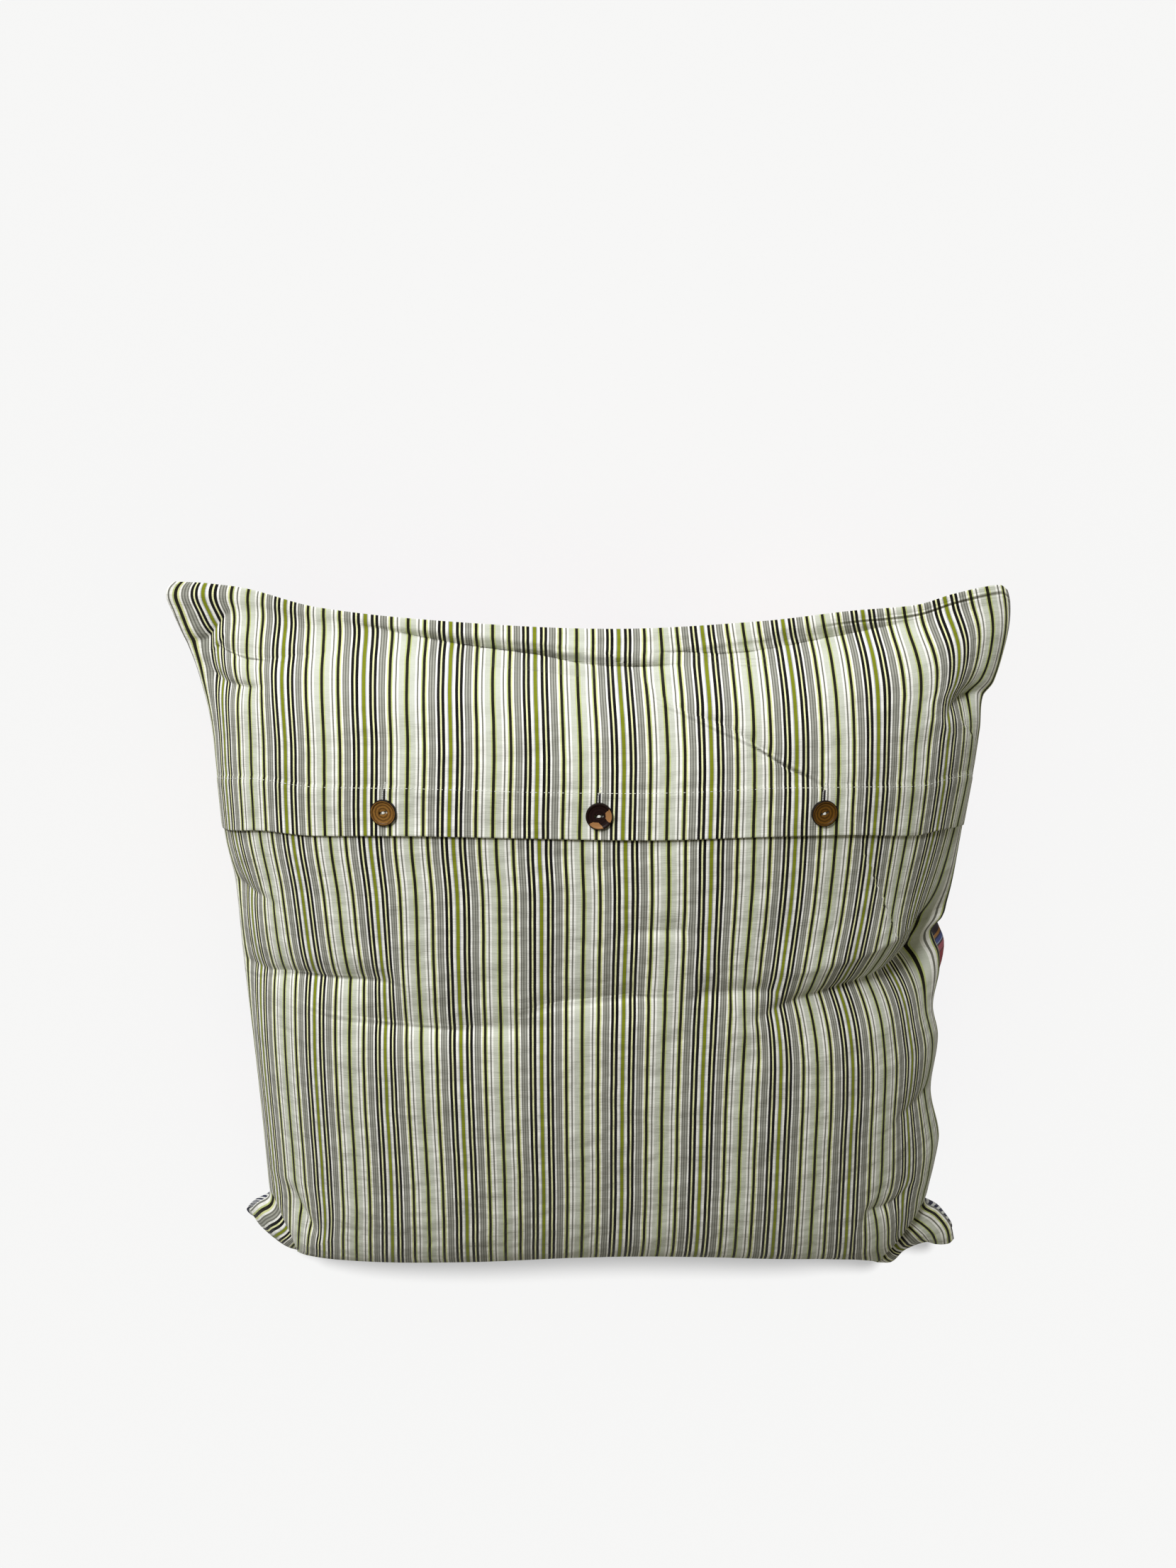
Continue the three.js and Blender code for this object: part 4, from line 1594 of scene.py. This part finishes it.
@dataclass
class FilledFront:
    """The patchwork front panel with the filling: a closed form under the back panels."""

    cover: Cover
    lines: int = 200

    def build(self, back: Surface, front: Surface) -> bpy.types.Object:
        """Builds the form.

        Args:
            back: The back's surface.
            front: The front's surface.

        Returns:
            The piece.
        """
        lines = mesh_lines(-1, 1, self.lines)
        s, t = np.meshgrid(lines, lines)
        upper, lower = back.at(s, t), front.at(s, t)
        points, faces, _ = shell(upper, lower)
        flat = np.stack([s, t], -1) * self.cover.half
        flat = np.concatenate([flat.reshape(-1, 2), flat[1:-1, 1:-1].reshape(-1, 2)])
        piece = cloth_object("patchwork_front", points, faces, flat, self.cover.shift)
        dress(piece, PatchworkCotton().material())
        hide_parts("cushion_body")
        return piece


@dataclass
class Sheet:
    """A panel of cloth that lies over the filled form.

    slide is how far its weave has slid to the right. pressed is the share of its thickness that it
    keeps in the side seams, and pressed_over how far in from them it is pressed.
    """

    cover: Cover
    name: str
    slide: float = 0.0
    pressed: float = 0.5
    pressed_over: float = 14.0

    def press(self, s: np.ndarray) -> np.ndarray:
        """The share of its thickness that the cloth keeps beside the side seams."""
        return mix(self.pressed, 1.0, smoothstep(self.cover.half * (1 - np.abs(s)), 0, self.pressed_over))

    def lay(
        self, back: Surface, s_lines: np.ndarray, t_lines: np.ndarray, low: np.ndarray, high: np.ndarray
    ) -> bpy.types.Object:
        """Makes a closed sheet between two heights over the back's surface.

        Args:
            back: The back's surface.
            s_lines: Mesh lines across.
            t_lines: Mesh lines along.
            low: Height of the cloth's underside at each place.
            high: Height of its upper side.

        Returns:
            The sheet.
        """
        s, t = np.meshgrid(s_lines, t_lines)
        place, normal = back.at(s, t), back.normal(s, t)
        layers = [place + normal * height[..., None] for height in (low, high)]
        rows, columns = s.shape
        under = np.arange(rows * columns).reshape(rows, columns)
        over = under + rows * columns
        rim = np.concatenate([under[0, :-1], under[:-1, -1], under[-1, :0:-1], under[:0:-1, 0]])
        upper_rim = rim + rows * columns
        walls = np.stack([rim, np.roll(rim, -1), np.roll(upper_rim, -1), upper_rim], -1)
        faces = np.concatenate([quads(under)[:, ::-1], quads(over), walls])
        flat = self.cover.flat(s, t, self.slide).reshape(-1, 2)
        points = np.concatenate([layer.reshape(-1, 3) for layer in layers])
        return cloth_object(self.name, points, faces, np.concatenate([flat, flat]), self.cover.shift)


@dataclass
class LowerPanel(Sheet):
    """The lower back panel, which runs on under the flap."""

    across: int = 195
    along: int = 244
    under_flap: float = 40.0
    cloth: float = 0.9
    gap: float = 0.15

    def build(self, back: Surface, striped: bpy.types.Material) -> bpy.types.Object:
        """Builds the panel.

        Args:
            back: The back's surface.
            striped: The striped cotton.

        Returns:
            The piece.
        """
        top = self.cover.hem_edge() + self.under_flap / self.cover.half
        s_lines, t_lines = mesh_lines(-1, 1, self.across), mesh_lines(-1, top, self.along)
        low = np.full((len(t_lines), len(s_lines)), self.gap)
        piece = self.lay(back, s_lines, t_lines, low, low + self.cloth * self.press(s_lines))
        dress(piece, striped)
        return piece


@dataclass
class ButtonFlap(Sheet):
    """The upper back panel, whose hem overlaps the lower panel."""

    across: int = 220
    above: int = 78
    cloth: float = 0.9
    hem_cloth: float = 1.9
    # How high it lies where the lower panel runs on underneath, and over the form from there up
    over_panel: float = 1.3
    over_form: float = 0.25
    panel_ends: tuple[float, float] = (42.0, 70.0)
    # How far the hem's edge stands off, how that rises and falls, and where it fades
    gape: float = 1.5
    gape_share: float = 0.3
    gape_waves: float = 13.0
    gape_start: float = 0.7
    gape_up: float = 9.0
    gape_side: float = 40.0
    edge_round: float = 1.3
    edge_share: float = 0.35
    stitch_inset: float = 1.2
    stitch_groove: float = 0.5
    groove_width: float = 1.1
    # Cloth between the hem's edge and the mesh lines over the hem
    hem_lines: tuple[float, ...] = (
        0, 0.2, 0.6, 1.3, 2.4, 4, 6, 8.5, 11.5, 15, 19, 23, 27, 30.5, 33.5, 35.5, 36.8,
    )
    # How far under and over its depth the hem's double cloth thins out
    hem_step: tuple[float, float] = (-0.6, 0.8)

    def heights(self, s: np.ndarray, t: np.ndarray) -> tuple[np.ndarray, np.ndarray]:
        """Heights of the flap's underside and upper side over the back's surface.

        Args:
            s: Places across.
            t: Places along.

        Returns:
            The two heights.
        """
        up = (t - self.cover.hem_edge()) * self.cover.half
        low = mix(self.over_panel, self.over_form, smoothstep(up, *self.panel_ends))
        waves = mix(1, np.sin(s * self.gape_waves + self.gape_start), self.gape_share)
        near_seam = smoothstep(self.cover.half * (1 - np.abs(s)), 0, self.gape_side)
        slack = self.gape * waves * np.exp(-up / self.gape_up) * near_seam
        hem = 1 - smoothstep(up, *(self.cover.hem_depth + step for step in self.hem_step))
        thick = mix(self.cloth, self.hem_cloth, hem)
        edge = np.clip(up / self.edge_round, 0, 1)
        thick = thick * mix(self.edge_share, 1, np.sqrt(edge * (2 - edge)))
        groove = np.exp(-(((up - self.stitch_row()) / self.groove_width) ** 2)) * self.stitch_groove
        press = self.press(s)
        return (low + slack) * press, (low + slack + thick) * press - groove

    def stitch_row(self) -> float:
        """How far above the hem's edge its stitches run."""
        return self.cover.hem_depth - self.stitch_inset

    def build(self, back: Surface, striped: bpy.types.Material) -> bpy.types.Object:
        """Builds the flap.

        Args:
            back: The back's surface.
            striped: The striped cotton.

        Returns:
            The piece.
        """
        edge = self.cover.hem_edge()
        hem = edge + np.array(self.hem_lines) / self.cover.half
        rest = mesh_lines(edge + self.cover.hem_depth / self.cover.half, 1, self.above)
        s_lines, t_lines = mesh_lines(-1, 1, self.across), np.concatenate([hem, rest])
        s, t = np.meshgrid(s_lines, t_lines)
        piece = self.lay(back, s_lines, t_lines, *self.heights(s, t))
        dress(piece, striped)
        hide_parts("button_flap")
        return piece


def deselect() -> None:
    """Leaves nothing selected."""
    for piece in bpy.context.selected_objects:
        piece.select_set(False)
    bpy.context.view_layer.objects.active = None


def stitch_mesh(
    length: float, radius: float, bluntness: float = 0.7
) -> tuple[np.ndarray, list[tuple[int, ...]]]:
    """One sewn stitch along X, modelled once.

    Args:
        length: Its length.
        radius: Its thread's radius.
        bluntness: The power that blunts its ends. 1 leaves them round.

    Returns:
        Its points and faces.
    """
    deselect()
    upright = (0, math.pi / 2, 0)
    bpy.ops.mesh.primitive_uv_sphere_add(segments=8, ring_count=6, radius=1, rotation=upright)
    bpy.ops.object.transform_apply(location=False, rotation=True, scale=False)
    stitch = bpy.context.object
    points = np.array([vertex.co for vertex in stitch.data.vertices])
    faces = [tuple(face.vertices) for face in stitch.data.polygons]
    bpy.data.objects.remove(stitch)
    size = np.array([length / 2, radius, radius])
    points[:, 0] = np.sign(points[:, 0]) * np.abs(points[:, 0]) ** bluntness
    return points * size, faces


@dataclass
class Sewing:
    """Stitches on the flap: the row over its hem and the worked buttonholes."""

    cover: Cover
    flap: ButtonFlap
    thread: float = 0.2
    # How far to each side a stitch reads the way that the cloth runs
    slope_step: float = 0.65
    # The row over the hem: its stitches, how unevenly they lie, and how far from the seams it ends
    pitch: float = 3.3
    stitch: float = 1.9
    lift: float = 0.05
    row_turn: float = 0.05
    row_inset: float = 4.0
    # A buttonhole: how far it runs from its button's middle, and its sides round the cut and over it
    hole_low: float = -2.0
    hole_high: float = 22.0
    hole_pitch: float = 0.8
    hole_side: float = 1.3
    closed_side: float = 0.45
    closes: tuple[float, float] = (SLIT - 2, SLIT + 1)
    hole_stitch: float = 1.2
    hole_lift: float = 0.02
    hole_turn: float = 0.12
    # The bar over its end: where its stitches lie, how far each is turned, and how high they are
    bar: tuple[float, ...] = (0, 0.5, 1.0)
    bar_turn: float = 0.05
    bar_lift: float = 0.1

    def _joined(self, name: str, spots: Sequence[np.ndarray], length: float) -> bpy.types.Object:
        """Joins a stitch at each of many places.

        Args:
            name: The piece's name.
            spots: For each stitch a matrix of its centre and three axes, as rows.
            length: The stitches' length.

        Returns:
            The piece.
        """
        points, faces = stitch_mesh(length, self.thread)
        places = np.concatenate([spot[0] + points @ spot[1:] for spot in spots])
        joined = []
        for k in range(len(spots)):
            joined.extend(tuple(corner + k * len(points) for corner in face) for face in faces)
        mesh = bpy.data.meshes.new(name)
        mesh.from_pydata((places * MM + np.array(self.cover.shift)).tolist(), [], joined)
        mesh.shade_smooth()
        piece = bpy.data.objects.new(name, mesh)
        bpy.context.scene.collection.objects.link(piece)
        return piece

    def _spot(self, back: Surface, s: float, t: float, turn: float, lift: float) -> np.ndarray:
        """Centre and axes of a stitch on the flap.

        Args:
            back: The back's surface.
            s: Its place across.
            t: Its place along.
            turn: How far it is turned from the hem's direction.
            lift: How far its middle lies over the flap.

        Returns:
            Its centre and axes, as four rows.
        """
        normal = back.normal(s, t)
        step = self.slope_step / self.cover.half
        across = back.at(s + step, t) - back.at(s - step, t)
        across -= normal * (across @ normal)
        across /= np.linalg.norm(across)
        along = np.cross(normal, across)
        _, high = self.flap.heights(np.asarray(s), np.asarray(t))
        first = across * math.cos(turn) + along * math.sin(turn)
        middle = back.at(s, t) + normal * (high + lift)
        return np.array([middle, first, np.cross(normal, first), normal])

    def hem_row(self, back: Surface, thread: bpy.types.Material) -> bpy.types.Object:
        """Sews the row over the hem.

        Args:
            back: The back's surface.
            thread: The thread's material.

        Returns:
            The piece.
        """
        half = self.cover.half
        t = self.cover.hem_edge() + self.flap.stitch_row() / half
        end = half - self.row_inset
        spots = []
        for u in np.arange(-end, end, self.pitch):
            spots.append(self._spot(back, u / half, t, self.row_turn * math.sin(u), self.lift))
        piece = self._joined("hem_stitches", spots, self.stitch)
        return dress(piece, thread)

    def buttonhole(
        self, back: Surface, button: "CoconutButton", thread: bpy.types.Material
    ) -> bpy.types.Object:
        """Works the edges of one buttonhole, which runs up from under its button.

        Args:
            back: The back's surface.
            button: The button.
            thread: The thread's material.

        Returns:
            The piece.
        """
        half = self.cover.half
        middle_s, middle_t = button.place()
        spots = []
        for up in np.arange(self.hole_low, self.hole_high, self.hole_pitch):
            apart = mix(self.hole_side, self.closed_side, smoothstep(up, *self.closes))
            t = middle_t + up / half
            for side in (-1, 1):
                turn = self.hole_turn * side * math.sin(3 * up)
                spots.append(self._spot(back, middle_s + side * apart / half, t, turn, self.hole_lift))
        for up in self.bar:
            t = middle_t + (self.hole_high + up) / half
            spots.append(self._spot(back, middle_s, t, self.bar_turn * up, self.bar_lift))
        piece = self._joined(button.name + "_hole", spots, self.hole_stitch)
        return dress(piece, thread)


@dataclass
class CoconutButton:
    """A turned two-hole button with a rim, sewn on with thread.

    across is its place on the cloth from the cover's middle, above_hem its place above the hem's
    edge, and turn how far its holes are turned.
    """

    cover: Cover
    name: str
    across: float
    above_hem: float
    turn: float
    shell: CoconutShell
    radius: float = 10.0
    thickness: float = 3.0
    rim: float = 1.6
    # How deep its face is dished inside the rim, and the shallow hollow round its holes
    dish: float = 0.7
    hollow: float = 0.15
    edge: float = 0.275
    hole_radius: float = 1.2
    hole_spacing: float = 4.4
    thread: float = 0.42
    # How far the loops of thread are lifted, and how much taller they are than the button
    thread_lift: float = 0.15
    thread_rise: float = 0.2
    strands: tuple[float, ...] = (-0.55, 0.0, 0.55)
    sides: int = 96

    def place(self) -> tuple[float, float]:
        """Where the button lies, as s and t."""
        return self.across / self.cover.half, self.cover.hem_edge() + self.above_hem / self.cover.half

    def _matrix(self, back: Surface) -> Matrix:
        """Where the button lies in the frame.

        Args:
            back: The back's surface.

        Returns:
            The turn and place of its back, in metres.
        """
        normal = Vector(back.normal(*self.place()))
        low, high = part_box(self.name)
        middle = (low + high) / 2 - normal * (self.thickness / 2 * MM)
        tilted = Vector((0, 0, 1)).rotation_difference(normal).to_matrix().to_4x4()
        return Matrix.Translation(middle) @ tilted @ Matrix.Rotation(self.turn, 4, "Z")

    def _select_top(self, mesh: bpy.types.Mesh) -> None:
        """Selects the one large face of the button's front.

        Args:
            mesh: The button's mesh.
        """
        bpy.context.tool_settings.mesh_select_mode = (False, False, True)
        top = max(mesh.polygons, key=lambda face: face.center.z)
        for face in mesh.polygons:
            face.select = face.index == top.index

    def _turned(self) -> bpy.types.Object:
        """Models the disc with its rim and dished face.

        Returns:
            The disc, lying on the middle of the scene.
        """
        deselect()
        bpy.ops.mesh.primitive_cylinder_add(
            vertices=self.sides,
            radius=self.radius * MM,
            depth=self.thickness * MM,
            location=(0, 0, self.thickness / 2 * MM),
        )
        bpy.ops.object.transform_apply(location=True, rotation=False, scale=False)
        disc = bpy.context.object
        disc.name = disc.data.name = self.name + "_shell"
        self._select_top(disc.data)
        bpy.ops.object.mode_set(mode="EDIT")
        bpy.ops.mesh.inset(thickness=self.rim * MM, depth=0)
        bpy.ops.mesh.inset(thickness=self.dish * MM, depth=-self.dish * MM)
        bpy.ops.mesh.inset(thickness=2 * self.rim * MM, depth=-self.hollow * MM)
        bpy.ops.object.mode_set(mode="OBJECT")
        return disc

    def _drilled(self, disc: bpy.types.Object) -> None:
        """Cuts the two sewing holes and rounds the edges.

        Args:
            disc: The button.
        """
        for side in (-1, 1):
            deselect()
            bpy.ops.mesh.primitive_cylinder_add(
                vertices=24,
                radius=self.hole_radius * MM,
                depth=4 * self.thickness * MM,
                location=(side * self.hole_spacing / 2 * MM, 0, 0),
            )
            drill = bpy.context.object
            cut = disc.modifiers.new("hole", "BOOLEAN")
            cut.operation, cut.object, cut.solver = "DIFFERENCE", drill, "EXACT"
            deselect()
            disc.select_set(True)
            bpy.context.view_layer.objects.active = disc
            bpy.ops.object.modifier_apply(modifier="hole")
            bpy.data.objects.remove(drill)
        bevel = disc.modifiers.new("edges", "BEVEL")
        bevel.width, bevel.segments = self.edge * MM, 3
        bevel.limit_method, bevel.angle_limit = "ANGLE", math.radians(40)
        bpy.ops.object.modifier_apply(modifier="edges")
        bpy.ops.object.shade_smooth_by_angle(angle=math.radians(35))

    def build(self, back: Surface) -> bpy.types.Object:
        """Builds the button at its place in the frame.

        Args:
            back: The back's surface.

        Returns:
            The piece.
        """
        disc = self._turned()
        self._drilled(disc)
        mesh = disc.data
        for old in list(mesh.uv_layers):
            mesh.uv_layers.remove(old)
        layer = mesh.uv_layers.new(name=CLOTH_UV)
        for loop in mesh.loops:
            layer.data[loop.index].uv = mesh.vertices[loop.vertex_index].co.xy
        mesh.transform(self._matrix(back))
        dress(disc, self.shell.material())
        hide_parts(self.name)
        return disc

    def sewn(self, back: Surface, thread: bpy.types.Material) -> bpy.types.Object:
        """Adds the strands of thread that run down one hole and up the other.

        Args:
            back: The back's surface.
            thread: The thread's material.

        Returns:
            The piece.
        """
        deselect()
        reach = self.hole_spacing / 2 - self.hole_radius
        loops = []
        for y in self.strands:
            bpy.ops.mesh.primitive_torus_add(
                major_radius=reach * MM,
                minor_radius=self.thread * MM,
                major_segments=32,
                minor_segments=10,
                location=(0, y * MM, 0),
                rotation=(math.pi / 2, 0, 0),
            )
            loops.append(bpy.context.object)
        for strand in loops:
            strand.select_set(True)
        bpy.ops.object.join()
        loop = bpy.context.object
        bpy.ops.object.transform_apply(location=True, rotation=True, scale=False)
        loop.name = loop.data.name = self.name + "_thread"
        face = self.thickness - self.dish - self.hollow
        stretch = (face / 2 + self.thread_rise) / (reach + self.thread)
        for vertex in loop.data.vertices:
            vertex.co.z = (face / 2 + self.thread_lift) * MM + vertex.co.z * stretch
        loop.data.transform(self._matrix(back))
        loop.data.shade_smooth()
        return dress(loop, thread)


@dataclass
class Studio:
    """A pale floor, soft light from the top of the picture, and the camera over the cushion.

    The camera's tilt, the lamps' turns and heights and how wide they look are in degrees.
    """

    cover: Cover
    camera_place: Place = (0.0, 536.7, 1153.0)
    tilt: float = 20.0
    focal_length: float = 32.70
    sensor_height: float = 36.0
    floor_half: float = 6000.0
    floor_gap: float = 0.2
    floor_grey: float = 0.5
    floor_glow: float = 0.425
    floor_glow_colour: Colour = (0.992, 1.0, 1.03)
    sky: float = 0.166
    sky_colour: Colour = (1.0, 0.95, 0.72)
    sun: float = 1.9
    sun_colour: Colour = (1.0, 1.0, 1.02)
    sun_height: float = 38.0
    sun_turn: float = 27.0
    softness: float = 13.0
    floor_sun: float = 3.55
    floor_sun_height: float = 48.4
    floor_softness: float = 6.5
    window_place: Place = (-550.0, 1500.0, 750.0)
    window_aim: Place = (0.0, 0.0, 120.0)
    window_size: float = 600.0
    window_power: float = 11.0

    def camera(self) -> None:
        """Sets the camera up."""
        data = bpy.data.cameras.new("camera")
        data.sensor_fit, data.sensor_height, data.lens = "VERTICAL", self.sensor_height, self.focal_length
        camera = bpy.data.objects.new("camera", data)
        camera.location = Vector(self.camera_place) * MM + self.cover.shift
        camera.rotation_euler = (-math.radians(self.tilt), 0, 0)
        bpy.context.scene.collection.objects.link(camera)
        bpy.context.scene.camera = camera

    def floor(self) -> bpy.types.Object:
        """Lays the floor, which glows a little so that it stays pale round the cushion.

        Returns:
            The floor.
        """
        deselect()
        bpy.ops.mesh.primitive_plane_add(
            size=2 * self.floor_half * MM, location=(0, 0, -self.floor_gap * MM)
        )
        floor = bpy.context.object
        floor.name = floor.data.name = "floor"
        shader = Shader(
            "pale_floor",
            {
                "Base Color": (self.floor_grey, self.floor_grey, self.floor_grey, 1),
                "Roughness": 1.0,
                "Specular IOR Level": 0.0,
                "Emission Color": (*self.floor_glow_colour, 1),
                "Emission Strength": self.floor_glow,
            },
        )
        floor.data.materials.append(shader.material)
        return floor

    def _aim(self, lamp: bpy.types.Object, way: Vector) -> None:
        """Adds a lamp that shines along a direction."""
        lamp.rotation_euler = way.to_track_quat("-Z", "Y").to_euler()
        bpy.context.scene.collection.objects.link(lamp)

    def _sun(
        self, name: str, strength: float, softness: float, height: float, turn: float
    ) -> bpy.types.Object:
        """Adds a sun.

        Args:
            name: Its name.
            strength: Its strength.
            softness: How wide it looks, in degrees.
            height: Its height over the floor, in degrees.
            turn: How far it stands to the left of the picture's top, in degrees.

        Returns:
            The sun.
        """
        data = bpy.data.lights.new(name, "SUN")
        data.energy, data.angle = strength, math.radians(softness)
        low, side = math.radians(height), math.radians(turn)
        level = Vector((math.sin(side), -math.cos(side), 0)) * math.cos(low)
        sun = bpy.data.objects.new(name, data)
        self._aim(sun, level - Vector((0, 0, math.sin(low))))
        return sun

    def light(self, pieces: Sequence[bpy.types.Object], floor: bpy.types.Object) -> None:
        """Lights the cushion from the top left of the picture, and the floor evenly, as in the photo.

        Args:
            pieces: The cushion's pieces.
            floor: The floor.
        """
        scene = bpy.context.scene
        world = bpy.data.worlds.new("studio")
        world.use_nodes = True
        background = world.node_tree.nodes["Background"]
        background.inputs["Color"].default_value = (*self.sky_colour, 1)
        background.inputs["Strength"].default_value = self.sky
        scene.world = world
        lit_pieces = bpy.data.collections.new("lit cushion")
        for piece in pieces:
            lit_pieces.objects.link(piece)
        lit_floor = bpy.data.collections.new("lit floor")
        lit_floor.objects.link(floor)
        # The floor's glow falls on nothing else
        floor.light_linking.receiver_collection = lit_floor
        sun = self._sun("daylight", self.sun, self.softness, self.sun_height, self.sun_turn)
        sun.light_linking.receiver_collection = lit_pieces
        sun.data.color = self.sun_colour
        sun = self._sun(
            "floor daylight", self.floor_sun, self.floor_softness, self.floor_sun_height, 0.0
        )
        sun.light_linking.receiver_collection = lit_floor
        data = bpy.data.lights.new("window", "AREA")
        data.energy, data.size = self.window_power, self.window_size * MM
        window = bpy.data.objects.new("window", data)
        window.location = Vector(self.window_place) * MM
        self._aim(window, Vector(self.window_aim) - Vector(self.window_place))
        window.light_linking.receiver_collection = lit_pieces
        scene.view_settings.view_transform = "Standard"
        scene.view_settings.look = "None"


def main() -> None:
    """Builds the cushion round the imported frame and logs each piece."""
    logging.basicConfig(level=logging.INFO, format="%(name)s: %(message)s")
    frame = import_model()
    cover = Cover()
    low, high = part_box("cushion_body")
    cover.shift = Vector((high.x - RIGHT_SEAM[0].x * MM, high.y - TOP_SEAM[0].y * MM, 0))
    log.info("frame of %d nodes, shift %s", len(frame["nodes"]), tuple(round(x, 4) for x in cover.shift))

    studio = Studio(cover)
    studio.camera()
    floor = studio.floor()

    pale = linear(164, 118, 74)
    spots = ((-4.5, -10.5, 6.5), (9.6, -0.5, 5.2))
    brown = CoconutShell(Slot.SHELL_BROWN, linear(62, 37, 8), linear(160, 114, 52), pale)
    dark = CoconutShell(Slot.SHELL_DARK, linear(18, 4, 4), linear(36, 12, 8), pale, spots)
    golden = CoconutShell(Slot.SHELL_GOLDEN, linear(44, 26, 2), linear(124, 84, 24), pale)
    buttons = [
        CoconutButton(cover, "button_left", across=-155.9, above_hem=18.4, turn=0.25, shell=brown),
        CoconutButton(cover, "button_middle", across=3.5, above_hem=19.0, turn=0.1, shell=dark),
        CoconutButton(cover, "button_right", across=170.3, above_hem=17.4, turn=0.26, shell=golden),
    ]
    back, front = laid_surfaces(cover, Settling(), [button.place() for button in buttons])
    slits = [cover.flat(*np.array(button.place())) for button in buttons]
    striped = StripedCotton(slits=tuple((u, v, v + SLIT) for u, v in slits)).material()
    thread = SewingThread().material()

    made = [FilledFront(cover).build(back, front)]
    made.append(LowerPanel(cover, "lower_back_panel", slide=2.0).build(back, striped))
    flap = ButtonFlap(cover, "upper_back_panel")
    made.append(flap.build(back, striped))
    sewing = Sewing(cover, flap)
    made.append(sewing.hem_row(back, thread))
    for button in buttons:
        made.append(button.build(back))
        made.append(button.sewn(back, thread))
        made.append(sewing.buttonhole(back, button, thread))
    for piece in made:
        log.info("%s has %d faces", piece.name, len(piece.data.polygons))
    studio.light(made, floor)


if __name__ == "__main__":
    main()
